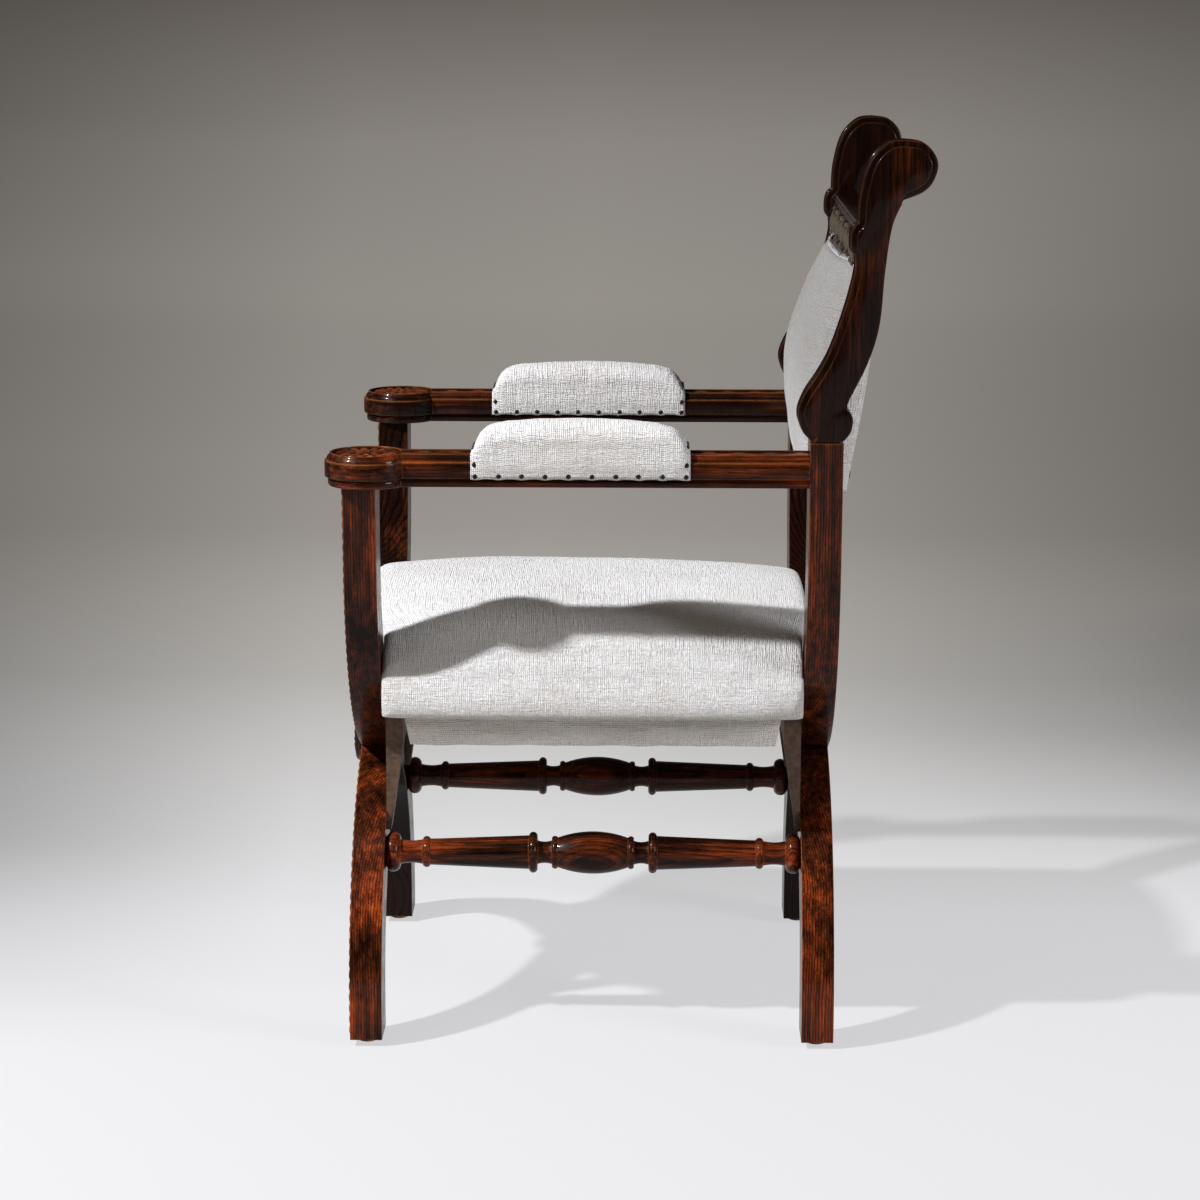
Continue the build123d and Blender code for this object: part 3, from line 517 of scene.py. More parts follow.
def keyhole(inset, side_steps=20, arc_steps=72):
    """Outline of an arm in plan, shrunk by an inset, about its own centre line."""
    radius, half = disc_radius - inset, bar_half - inset
    meet = disc_place + math.sqrt(radius**2 - half**2)
    start = math.atan2(half, meet - disc_place)
    outline = []
    for step in range(side_steps):
        outline.append((half, rear_frame + (meet - rear_frame) * step / side_steps))
    for step in range(arc_steps + 1):
        turn = start + (2 * math.pi - 2 * start) * step / arc_steps
        outline.append((radius * math.sin(turn), disc_place + radius * math.cos(turn)))
    for step in range(side_steps):
        outline.append((-half, meet + (rear_frame - meet) * (step + 1) / side_steps))
    return outline


def moulded_arm(name, side):
    """One arm with its moulding run all round."""
    points = []
    for inset, height in arm_moulding:
        for x, y in keyhole(inset * mm):
            points.append((side * arm_side + x, y, arm_low.z + height * mm))
    around = len(keyhole(0))
    faces = loft_faces(len(arm_moulding), around)
    return build_piece(name, points, faces, arm_oak, 30)


for name, side in (("left", 1), ("right", -1)):
    arm = moulded_arm(f"moulded_arm_{name}", side)
    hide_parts(f"arm_{name}")
    print(arm.name, len(arm.data.polygons), "faces")

# %% [markdown]
# ## Carving on the arms
# The grip carries a rosette inside its rim, and the bar a running leaf with drilled eyes. Shallow
# carving is easiest as a height: a formula gives the depth at each point of a fine grid, and no
# single leaf has to be modelled. The helper mound gives every round swelling in the formulas.

# %% Formulas for the carving
carved_ground = arm_low.z + 34.0 * mm
bar_ground = 0.0167
lobe_turn = 0.196


def mound(distance, reach):
    """A round swelling: 1 in the middle and 0 at its reach."""
    share = abs(distance) / reach
    return math.sqrt(1 - share * share) if share < 1 else 0.0


def rosette_height(radius, turn):
    """Height in mm of the carved rosette at a distance and an angle from its middle."""
    button = 2.6 * mound(radius, 6.2)
    petal = abs(math.cos(4 * turn)) ** 1.1
    split = 0.7 * mound(math.sin(4 * turn), 0.1) * mound(radius - 12, 5)
    inner = 2.7 * petal * mound(radius - 12.4, 6.6) - split
    ring = 1.9 * mound(radius - 21.0, 1.7)
    lobe = abs(math.cos(8 * (turn + lobe_turn))) ** 1.1
    outer = 3.0 * lobe * mound(radius - 28.6, 7.2)
    vein = 0.8 * mound(math.sin(8 * (turn + lobe_turn)), 0.16) * mound(radius - 29, 6)
    drilled = 1.3 * (1 - lobe) ** 2 * mound(radius - 33.4, 2.2)
    return max(button, inner, ring, outer - vein) - drilled


def leaf_band_height(along, off, half):
    """Height in mm of the running leaf at a distance along the bar and off its middle."""
    pitch = 17.0
    phase = (along / pitch) % 1.0
    swing = math.sin(2 * math.pi * along / (2 * pitch))
    leaf = 2.1 * mound(off - 0.35 * half * swing, half * (0.45 + 0.45 * math.sin(math.pi * phase)))
    eye = mound(math.hypot((phase - 0.5) * pitch, off + 0.45 * half * swing), 2.1)
    groove = 0.9 * mound(off - 0.35 * half * swing, 0.9)
    return max(leaf - groove, 0.0) - 2.2 * eye


print("a petal stands", round(rosette_height(12.4, 0), 2), "mm high")

# %% [markdown]
# ## Rosettes and leaf bands
# The rosette's grid is round and the bar's is straight, and both go through one helper. The low
# places of the formula are also written to an attribute, and the oak recipe darkens those as
# painted shade. A painted texture could do that too, but it would have to be lined up by hand.

# %% The rosettes and leaf bands
rosette_sides, rosette_rings = 160, 46
carving_lift = 0.95


def carved_panel(name, grid, material, closed):
    """A carved panel from rows of (point, height), with painted shade in its low places."""
    points, marks = [], []
    for row in grid:
        for point, height in row:
            points.append(point)
            marks.append(0.97 * (1 - ease(height, 0.5, 2.1)))
    faces = loft_faces(len(grid), len(grid[0]), closed, False)
    if closed:
        faces.append(tuple(range(len(grid[0]))))
    return build_piece(name, points, faces, material, 60, marks)


def rosette(name, side):
    """Carved rosette on the round grip of one arm."""
    grid = []
    for ring in range(rosette_rings):
        radius = 0.4 + 39.3 * ring / (rosette_rings - 1)
        row = []
        for turn in round_places(rosette_sides):
            height = rosette_height(radius, turn)
            row.append(((
                side * arm_side + radius * mm * math.sin(turn),
                disc_place + radius * mm * math.cos(turn),
                carved_ground + height * mm * carving_lift,
            ), height))
        grid.append(row)
    return carved_panel(name, grid, carved_oak, True)


def leaf_band(name, side, start, end):
    """Carved leaf band on the bar of one arm, from one depth to another."""
    grid = []
    length = (end - start) / mm
    rows_per_mm, half_columns = 1.6, 13
    for row_index in range(int(length * rows_per_mm) + 1):
        along = row_index / rows_per_mm
        row = []
        for column in range(2 * half_columns + 1):
            off = (column / half_columns - 1) * bar_ground / mm
            height = leaf_band_height(along, off, bar_ground / mm)
            lifted = carved_ground + height * mm * carving_lift
            row.append(((side * arm_side + off * mm, start + along * mm, lifted), height))
        grid.append(row)
    return carved_panel(name, grid, carved_oak, False)


pad_start, pad_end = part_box("arm_pad_left")[0].y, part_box("arm_pad_left")[1].y
for name, side in (("left", 1), ("right", -1)):
    rosette(f"arm_rosette_{name}", side)
    leaf_band(f"arm_leaves_front_{name}", side, disc_place + 0.0385, pad_start + 0.004)
    leaf_band(f"arm_leaves_rear_{name}", side, pad_end - 0.004, rear_frame)
print("arms carved")

# %% [markdown]
# ## The back uprights
# Each upright is a thick board sawn to an S with a scroll at its head. Its side view is a smooth
# line through a few points, which is how a template for the saw is drawn: some points along the
# front, some along the rear, and a note of which part carries the moulding.

# %% Outline of an upright
seam_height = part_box("upright_left")[0].z
post_middle = (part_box("rear_member_left")[0].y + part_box("rear_member_left")[1].y) / 2
upright_front = [
    [(-15, 0), (-27, 12), (-33, 32), (-26, 54), (-12, 76), (0, 98), (10, 124)],
    [(10, 124), (21, 160), (28, 191), (27.5, 208)],
    [(27.5, 208), (23.8, 212), (22.4, 219), (23.0, 231), (25.7, 239), (31, 244)],
    [(31, 244), (33, 275), (43, 311), (62, 331), (81, 334.5)],
    [(81, 334.5), (103, 330), (117, 311), (113, 290), (101, 277), (80, 268.5)],
]
upright_rear = [
    [(80, 268.5), (68, 240), (61, 190), (56, 132), (44, 90), (24, 48), (22, 38)],
    [(22, 38), (27, 32), (28.5, 24), (26.5, 13), (21, 5), (15, 0)],
]


def upright_outline():
    """Points round an upright in the side view, with how much moulding each one carries."""
    outline = []
    for part_index, part_points in enumerate(upright_front + upright_rear):
        line = smooth_path(part_points, 9)[:-1]
        moulded = 1.0 if part_index < len(upright_front) else 0.0
        outline += [(y * mm, z * mm, moulded) for y, z in line]
    return outline


outline = upright_outline()
print(len(outline), "points round an upright")

# %% [markdown]
# ## The moulded uprights
# A moulding runs along the front of each upright: a hollow in the middle, a bead on each side of it,
# and a groove outside each bead. The mesh walks round the outline and, at each step, lays a row of
# points across the thickness. Along the front those points sink into the moulding, and along the
# rear they stay flat, with only the corners eased. A cutter swept along the edge would pinch at the
# scroll, where the curve is tight.

# %% The moulded uprights
edge_moulding = [
    (23.0, 8.4), (22.8, 7.6), (22.2, 7.0), (21.3, 6.8), (20.5, 7.4), (20.0, 8.8), (18.9, 9.4),
    (17.8, 8.8), (17.3, 5.0), (17.0, 2.2), (16.3, 0.8), (15.0, 0.1), (13.6, 0.0), (12.4, 0.6),
    (11.6, 1.8), (8.0, 3.2), (4.0, 3.8), (0.0, 4.0),
]
eased_corner = {23.0: 1.0, 22.8: 0.6, 22.2: 0.1}
plain_edge = [(x, eased_corner.get(x, 0.0)) for x, _ in edge_moulding]


def across_upright(profile):
    """A half moulding mirrored to the full thickness."""
    return profile + [(-x, depth) for x, depth in reversed(profile[:-1])]


def moulded_upright(name):
    """One upright with its front moulding."""
    low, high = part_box(f"upright_{name}")
    middle = (low.x + high.x) / 2
    count = len(outline)
    fancy, plain = across_upright(edge_moulding), across_upright(plain_edge)
    softened = []
    for index in range(count):
        near = [outline[(index + shift) % count][2] for shift in (-2, -1, 0, 1, 2)]
        softened.append(sum(near) / len(near))
    points = []
    for column in range(len(fancy)):
        for index, (y, z, _) in enumerate(outline):
            before, after = outline[index - 1], outline[(index + 1) % count]
            tangent = Vector((after[0] - before[0], after[1] - before[1])).normalized()
            inward = Vector((tangent.y, -tangent.x))
            share = softened[index] if z > 0.0005 else 0.0
            depth = (fancy[column][1] * share + plain[column][1] * (1 - share)) * mm
            x = fancy[column][0] * share + plain[column][0] * (1 - share)
            points.append((
                middle + x * mm,
                post_middle + y + inward.x * depth,
                seam_height + max(z + inward.y * depth, 0.0),
            ))
    faces = loft_faces(len(fancy), count)
    return build_piece(f"moulded_upright_{name}", points, faces, back_oak, 34)


for name in ("left", "right"):
    upright = moulded_upright(name)
    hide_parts(f"upright_{name}")

# %% [markdown]
# ## The crest rail
# The rail between the scrolls is carved with palmettes, fans of narrow leaves that stand upright
# and hang by turns, under two beads and a fillet. The stuffed back laps over its plain foot. It is
# one loft along its length: each ring is a slice of the rail, and the carving formula pushes the
# front of the slice out or in. One attribute darkens its low places as painted shade, and a second
# marks the tips, which are greyed with dust and a painted highlight.

# %% Formulas for the crest rail
lean_angle = math.radians(8.7)
crest_low, crest_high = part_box("crest_rail")
crest_half = crest_high.x
back_foot = (0.24751, 0.652)
crest_start, crest_end, crest_rebate = 234.7, 295.4, 216.7
crest_rear, rebate_front = 4, 25
crest_foot, crest_ground, crest_mouldings = 27.6, 28.2, 14.6
cushion_lap, palmette_stretch = 9.0, 0.73


def on_back(up, forward):
    """Y and z of a place measured up the leaning back and forward from its rear face, in mm."""
    y = back_foot[0] + (up * math.sin(lean_angle) - forward * math.cos(lean_angle)) * mm
    z = back_foot[1] + (up * math.cos(lean_angle) + forward * math.sin(lean_angle)) * mm
    return y, z


def palmette_height(along, up):
    """Height in mm of the palmette band; up runs from 0 at its foot to 27 at its head."""
    pitch, wide = 47.0, 0.54
    number = math.floor(along / pitch + 0.5)
    off = (along - number * pitch) * wide
    rise = up - 1 if number % 2 == 0 else 26 - up
    reach = math.hypot(off, rise)
    turn = math.atan2(off, max(rise, 0.01))
    lobe = abs(math.cos(4.5 * turn)) ** 0.6
    tip = 24 - 4 * abs(turn)
    fan = 8.6 * lobe * mound(reach - tip * 0.56, tip * 0.46) if rise > 0 else 0.0
    eye = 6.0 * mound(reach, 4.6)
    edge = abs(off) - pitch * wide / 2
    berry = 5.6 * mound(math.hypot(edge, up - 13.5), 3.1)
    return max(fan, eye, berry)


def crest_front(along, up):
    """Distance in mm from the rear plane to the carved front at a place on the rail."""
    level = up - crest_start - cushion_lap
    top = crest_end - up
    if top < 3.2:
        return 38.0 - 1.2 * (1 - mound(top - 1.6, 1.61))
    if top < 4.2:
        return 34.0
    if top < 9.4:
        return 33.5 + 4.2 * mound(top - 6.8, 2.6)
    if top < 10.6:
        return 31.5
    if top < crest_mouldings:
        return 31.5 + 3.2 * mound(top - 12.6, 2.0)
    if level < 0:
        return crest_foot
    return crest_ground + palmette_height(along, level * palmette_stretch)


highest = max(
    crest_front(along, crest_start + cushion_lap + up) for along in range(47) for up in range(37)
)
print("palmettes stand", crest_ground, "to", round(highest, 1), "mm in front of the rear plane")

# %% The carved crest rail
def carved_crest():
    """The crest rail as a loft along its length."""
    levels, stations = 92, 520
    ups = [crest_start + (crest_end - crest_start) * step / levels for step in range(levels + 1)]
    behind = [
        (crest_end, crest_rear), (crest_start, crest_rear), (crest_rebate, crest_rear),
        (crest_rebate, rebate_front), (crest_start, rebate_front),
    ]
    points, marks, tips = [], [], []
    for station in range(stations + 1):
        x = crest_half * (2 * station / stations - 1)
        for up in ups:
            front = crest_front(x / mm, up)
            points.append((x, *on_back(up, front)))
            carved = up < crest_end - crest_mouldings
            # Painted shade in the carving's low places.
            marks.append(0.92 * (1 - ease(front, 28.6, 33.0)) if carved else 0.0)
            # The tips are greyed by dust and a painted highlight.
            tips.append(ease(front, 32.5, 36.0) if carved else 0.0)
        for up, forward in behind:
            points.append((x, *on_back(up, forward)))
            marks.append(0.0)
            tips.append(0.0)
    faces = loft_faces(stations + 1, len(ups) + len(behind))
    made = build_piece("carved_crest", points, faces, crest_oak, 50, marks)
    made.data.attributes.new("raised", "FLOAT", "POINT").data.foreach_set("value", tips)
    return made


crest = carved_crest()
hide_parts("crest_rail")
print("crest rail", len(crest.data.polygons), "faces, box", crest_low, crest_high)

# %% [markdown]
# ## The boss on the front crossing
# A turned and carved disc hides the half-lap at the front. It is the arm's rosette again, bigger,
# inside two turned rings, so the chair's ornaments match. Here the grid is wrapped round from the
# frame's face to the middle of the disc, as a shallow cup.

# %% The front boss
boss_low, boss_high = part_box("front_boss")
boss_middle = Vector((0, 0, (boss_low.z + boss_high.z) / 2))
boss_rings = [
    (39.0, 0.0), (39.0, 5.6), (38.6, 6.6), (37.6, 7.2), (36.4, 7.2), (35.9, 7.6), (35.5, 8.8),
    (34.8, 10.4), (33.4, 11.6), (31.6, 12.0), (29.9, 11.6), (28.6, 10.4), (28.0, 8.8),
]


def carved_boss():
    """The boss, from its rim on the frame to the carved middle."""
    points, marks = [], []
    for radius, stand in boss_rings:
        for turn in round_places(rosette_sides):
            points.append((
                radius * mm * math.sin(turn),
                boss_high.y - stand * mm,
                boss_middle.z + radius * mm * math.cos(turn),
            ))
            marks.append(0.0)
    inner, shrink = 34, 1.3
    boss_ground, boss_lift = 9.0, 1.7
    for ring in range(inner):
        radius = 27.8 * (1 - ring / inner) + 0.3
        for turn in round_places(rosette_sides):
            height = rosette_height(radius * shrink, turn)
            points.append((
                radius * mm * math.sin(turn),
                boss_high.y - (boss_ground + height * boss_lift) * mm,
                boss_middle.z + radius * mm * math.cos(turn),
            ))
            # Painted shade in the rosette's low places.
            marks.append(0.9 * (1 - ease(height, -0.1, 1.1)))
    faces = loft_faces(len(boss_rings) + inner, rosette_sides)
    return build_piece("carved_boss", points, faces, crest_oak, 50, marks)


boss = carved_boss()
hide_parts("front_boss")
print("boss", boss_low, boss_high)

# %% [markdown]
# ## Skins for the stuffed pieces
# A stuffed piece starts as a closed skin with evenly spaced points: a box with rounded edges,
# bent by a shaping function. The skin keeps a UV map in metres, laid over the top and down the
# sides as a real cover is, so the weave runs straight and turns over the edges.

# %% Closed skins with a cloth map
def rounded_place(flat, low, high, rounding, square_ends):
    """Where a point on a box's face lies once the box's edges are rounded."""
    core = [
        min(max(flat[axis], low[axis] + rounding[axis]), high[axis] - rounding[axis])
        for axis in range(3)
    ]
    away = [(flat[axis] - core[axis]) / rounding[axis] for axis in range(3)]
    end_part = away[1]
    if square_ends:
        away[1] = 0.0
    length = math.sqrt(sum(part * part for part in away))
    reach = max(abs(part) for part in away)
    scale = reach / length if length > 1e-9 else 0.0
    place = [core[axis] + away[axis] * rounding[axis] * scale for axis in range(3)]
    if square_ends:
        drawn_in = rounding[1] * (1 - math.sqrt(max(1 - end_part**2, 0)))
        for axis in (0, 2):
            middle = (low[axis] + high[axis]) / 2
            shrink = 1 - 2 * drawn_in / (high[axis] - low[axis])
            place[axis] = middle + (place[axis] - middle) * shrink
        place[1] = flat[1]
    return place


def box_skin(low, high, spacing, rounding, square_ends=False):
    """Points, faces and cloth places of a box with rounded edges; square ends are rolled less."""
    size = [high[axis] - low[axis] for axis in range(3)]
    steps = [max(2, round(size[axis] / spacing)) for axis in range(3)]
    index_of, points, faces, cloth = {}, [], [], []

    def point_at(key):
        if key not in index_of:
            flat = [low[axis] + size[axis] * key[axis] / steps[axis] for axis in range(3)]
            index_of[key] = len(points)
            points.append(rounded_place(flat, low, high, rounding, square_ends))
        return index_of[key]

    for axis in range(3):
        first, second = [other for other in range(3) if other != axis]
        for end in (0, steps[axis]):
            for a in range(steps[first]):
                for b in range(steps[second]):
                    corner = []
                    for da, db in ((0, 0), (1, 0), (1, 1), (0, 1)):
                        key = [0, 0, 0]
                        key[axis], key[first], key[second] = end, a + da, b + db
                        corner.append(tuple(key))
                    faces.append(tuple(point_at(key) for key in corner))
                    cloth.append((axis, end > 0, [
                        [low[k] + size[k] * key[k] / steps[k] for k in range(3)] for key in corner
                    ]))
    return points, faces, cloth


def cloth_place(axis, high_end, place, top, half):
    """Where a point of the box lies on the cloth that is laid over it."""
    x, y, z = place
    drop = top - z
    if axis == 2:
        return (y, x) if high_end else (y, x + 1.0)
    if axis == 0:
        return (y, half[0] + drop) if high_end else (y, -half[0] - drop)
    return (half[1] + drop, x) if high_end else (-half[1] - drop, x)


def stuffed_skin(name, low, high, spacing, rounding, shape, material, square_ends=False):
    """A closed skin, bent by a shaping function, with its cloth map."""
    points, faces, cloth = box_skin(low, high, spacing, rounding, square_ends)
    half = [(high[axis] - low[axis]) / 2 for axis in range(3)]
    middle = [(high[axis] + low[axis]) / 2 for axis in range(3)]
    mesh = bpy.data.meshes.new(name)
    mesh.from_pydata([shape(Vector(point)) for point in points], [], faces)
    layer = mesh.uv_layers.new(name="cloth")
    for polygon, (axis, high_end, corners) in zip(mesh.polygons, cloth):
        for loop, place in zip(polygon.loop_indices, corners):
            about = [place[0] - middle[0], place[1] - middle[1], place[2]]
            layer.data[loop].uv = cloth_place(axis, high_end, about, high[2], half)
    turn_outwards(mesh)
    return place_mesh(name, mesh, material)


def map_cloth(mesh, maps):
    """Lay a cloth map on a mesh that has one place on the cloth for each point."""
    layer = mesh.uv_layers.new(name="cloth")
    for polygon in mesh.polygons:
        for loop, vertex in zip(polygon.loop_indices, polygon.vertices):
            layer.data[loop].uv = maps[vertex]


print("skins ready")

# %% [markdown]
# ## Letting the stuffing push
# A cushion looks soft because its skin is pushed out from inside and pulled in where it is nailed.
# Blender's cloth can do that: pressure inside, no gravity, twenty short steps. The result is
# then limited, so no point strays far from the drawn shape, and the nailed or hidden places are
# held where they are. The movement is copied to the mesh, and the cloth modifier goes away.

# %% Pressure inside a skin
push_steps = 20
spare_cloth = 0.05


def push_out(piece, pressure, most, hold):
    """Swell a skin by cloth pressure; most limits the movement and hold is 0 where it is nailed."""
    start = [vertex.co.copy() for vertex in piece.data.vertices]
    cloth = piece.modifiers.new("cloth", "CLOTH")
    cloth.settings.quality = 4
    cloth.settings.mass = 0.3
    cloth.settings.tension_stiffness = 12
    cloth.settings.compression_stiffness = 12
    cloth.settings.bending_stiffness = 0.4
    cloth.settings.use_pressure = True
    cloth.settings.uniform_pressure_force = pressure
    cloth.settings.shrink_min = -spare_cloth
    cloth.settings.effector_weights.gravity = 0
    cloth.collision_settings.use_self_collision = False
    cloth.point_cache.frame_start, cloth.point_cache.frame_end = 1, push_steps
    for step in range(1, push_steps + 1):
        bpy.context.scene.frame_set(step)
    settled = piece.evaluated_get(bpy.context.evaluated_depsgraph_get()).data
    ends = [vertex.co.copy() for vertex in settled.vertices]
    piece.modifiers.remove(cloth)
    bpy.context.scene.frame_set(1)
    for vertex, before, after in zip(piece.data.vertices, start, ends):
        move = after - before
        if move.length > most:
            move *= most / move.length
        vertex.co = before + move * hold(before)


def soften_piece(piece):
    """One level of subdivision, for the render and the view alike."""
    smooth = piece.modifiers.new("smooth", "SUBSURF")
    smooth.levels = smooth.render_levels = 1


print("pressure ready")

# %% [markdown]
# ## The seat
# The seat is a thick box of stuffing, domed both ways and highest a little ahead of the middle.
# Its sides roll over in one wide curve, then lean in below. The front and rear press against the
# crossed frames and bulge through the open upper halves of the two crosses, so the bulge fades
# where a curved member stands in the way. The shaping function starts from a plain box, because
# each of those habits is then one short line that can be changed by itself.

# %% The stuffed seat
seat_low, seat_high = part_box("seat_cover")
seat_middle_y = (seat_low.y + seat_high.y) / 2
seat_half_x = seat_high.x
seat_half_y = (seat_high.y - seat_low.y) / 2
frame_arc_height, frame_opening = 0.578, 0.223
seat_crown = 0.047
front_bulge, rear_bulge = 0.029, 0.009


def seat_shape(point):
    """Bend the plain box into the domed seat."""
    u = point.x / seat_half_x
    v = (point.y - seat_middle_y) / seat_half_y
    rise = (point.z - seat_low.z) / (seat_high.z - seat_low.z)
    dome = seat_crown * (1 - abs(u) ** 2.3)
    dome -= 0.0125 * abs(v) ** 3 * (1 - 0.5 * abs(u) ** 3)
    dome -= 0.003 * v
    wobble = noise.noise(Vector((point.x * 9, point.y * 9, 2.0))) * 0.0014
    z = point.z - seat_crown * ease(rise, 0.0, 1.0) + (dome + wobble) * ease(rise, 0.0, 1.0)
    z = max(z, seat_low.z - 0.0037)
    swell = 0.0035 * math.sin(math.pi * min(max(rise, 0), 1)) * abs(u) ** 6
    tuck = 0.027 * (1 - ease(z, seat_low.z - 0.02, seat_low.z + 0.06)) * abs(u) ** 6
    x = point.x + math.copysign(swell - tuck, point.x) * (1 - 0.4 * v**4)
    pull = noise.noise(Vector((point.y * 16, point.z * 10, 7.0))) * 0.0014 * abs(u) ** 8
    clear = ease(frame_opening - math.hypot(point.x, z - frame_arc_height), 0.002, 0.06)
    bulge = (front_bulge if v < 0 else rear_bulge) * clear * abs(v) ** 3 * ease(z, 0.4, 0.44)
    return (x + math.copysign(pull, point.x), point.y + math.copysign(bulge, v), z)


def seat_hold(place):
    """How freely the seat's skin moves: not at all underneath or against the frames."""
    v = abs(place.y - seat_middle_y) / seat_half_y
    return ease(place.z, seat_low.z + 0.004, seat_low.z + 0.03) * (1 - ease(v, 0.9, 0.995))


skin_spacing = 0.008
seat_inset, seat_roll, seat_end_roll = 0.003, 0.085, 0.003
seat = stuffed_skin(
    "stuffed_seat",
    (-seat_half_x + seat_inset, seat_low.y - 0.001, seat_low.z - 0.05),
    (seat_half_x - seat_inset, seat_high.y + 0.001, seat_high.z + 0.001),
    skin_spacing, (seat_roll, seat_end_roll, seat_roll), seat_shape, seat_linen, square_ends=True,
)
push_out(seat, 4.0, 0.005, seat_hold)
soften_piece(seat)
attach(seat, "root")
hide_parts("seat_cover", "seat_stuffing")
print("seat", len(seat.data.vertices), "points")

# %% [markdown]
# ## The stuffed back
# The back swells most a third of the way up and falls away to its sides and its top, where it is
# nailed below the crest rail. Between the rear posts it is narrower than between the uprights. Its
# front is drawn as one curve up the middle, with a fall towards the sides added to it. Room is
# left in that curve for the pressure, which would otherwise push the back out too far.

# %% The stuffed back
cushion_low, cushion_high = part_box("back_cushion")
back_profile = [
    (652, 197.5), (671, 194.6), (695, 190.2), (719, 186.5), (743, 185.0), (767, 184.5), (791, 188.0),
    (815, 195.0), (839, 204.0), (851, 208.5), (863, 213.5), (874, 219.5), (891, 228.6), (902, 236.0),
]


def profile_at(height):
    """Depth of the stuffed back's front at its middle, at a height, both in mm."""
    for (z0, y0), (z1, y1) in zip(back_profile, back_profile[1:]):
        if height <= z1:
            return y0 + (y1 - y0) * max(height - z0, 0) / (z1 - z0)
    return back_profile[-1][1]


def lean_plane(z):
    """Depth of the back's rear plane at a height."""
    return back_foot[0] + (z - back_foot[1]) * math.tan(lean_angle)


def back_shape(point):
    """Bend a plain box into the stuffed back; y runs from 0 in front to its full depth behind."""
    rise = (point.z - back_low) / (back_top - back_low)
    u = point.x / back_half
    wide = back_half - 0.011 * (1 - ease(point.z, 0.7, 0.722))
    x, z = u * wide, point.z
    front = profile_at(z / mm) * mm
    front += 0.03 * abs(u) ** 2.6 * ease(rise, -0.2, 0.35) + 0.012 * abs(u) ** 6
    front += room_to_swell * (1 - u**4) * ease(z, 0.657, 0.7) * (1 - ease(z, 0.87, 0.9))
    front += noise.noise(Vector((x * 11, z * 11, 4.0))) * 0.0012
    behind = 0.0282 + 0.0012 * ease(z, 0.86, 0.875)
    rear = lean_plane(z) - behind
    front = min(front, rear - 0.005)
    share = point.y / back_depth
    return (x, front + (rear - front) * share, z - top_slope * share * ease(rise, 0.93, 1.0))


def back_hold(place):
    """The back's skin is held along its edges and behind."""
    side = abs(place.x) / back_half
    return (1 - ease(side, 0.86, 0.98)) * (1 - ease(place.z, 0.875, 0.9)) * ease(place.z, 0.657, 0.68)


back_half, back_depth, back_low, back_top = 0.2315, 0.07, 0.6565, 0.902
room_to_swell, top_slope = 0.006, 0.007
back_rounding = (0.016, 0.02, 0.004)
back = stuffed_skin(
    "stuffed_back", (-back_half, 0, back_low), (back_half, back_depth, back_top), skin_spacing,
    back_rounding, back_shape, back_linen,
)
push_out(back, 4.0, 0.004, back_hold)
soften_piece(back)
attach(back, "root")
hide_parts("back_cushion")
print("back", len(back.data.vertices), "points, in place of", cushion_low, cushion_high)

# %% [markdown]
# ## The arm pads
# Each pad is a roll of stuffing under linen, pulled down over both sides of the bar and nailed.
# Its section changes along its length, so it is a loft: a ring every few millimetres, each with a
# rounded top, two skirts, and an inner line that clears the wood. The skirts dip at every nail.

# %% The section of an arm pad
pad_box_low, pad_box_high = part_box("arm_pad_left")
pad_foot = pad_box_low.z
bar_top = arm_high.z
pad_tops = [
    (0.0, 1.6), (1.6, 3.2), (3.5, 8.0), (6.5, 15.0), (10.5, 22.0), (16.0, 27.4), (25.0, 31.8),
    (42.0, 34.6), (75.0, 35.8), (125.0, 36.0), (172.0, 35.2), (208.0, 32.6), (224.0, 28.6),
    (233.0, 22.6), (239.0, 14.6), (242.6, 7.0), (244.2, 3.2), (245.0, 1.6),
]
pad_length = (pad_box_high.y - pad_box_low.y) / mm
skirt_steps, crown_steps = 10, 15
skirt_inside, skirt_outside = 25.35 * mm, 0.0262
nail_count = 10
nail_first, nail_last = 5.0, pad_length - 5.0
nail_rise = 3.8 * mm
nail_pitch = (nail_last - nail_first) / (nail_count - 1)


def along_list(pairs, value):
    """Straight reading between the pairs of a list."""
    for (a0, b0), (a1, b1) in zip(pairs, pairs[1:]):
        if value <= a1:
            return b0 + (b1 - b0) * (value - a0) / (a1 - a0)
    return pairs[-1][1]


def near_nail(along):
    """1 beside a nail of the side row and 0 midway between two."""
    return 0.5 + 0.5 * math.cos(2 * math.pi * (along - nail_first) / nail_pitch)


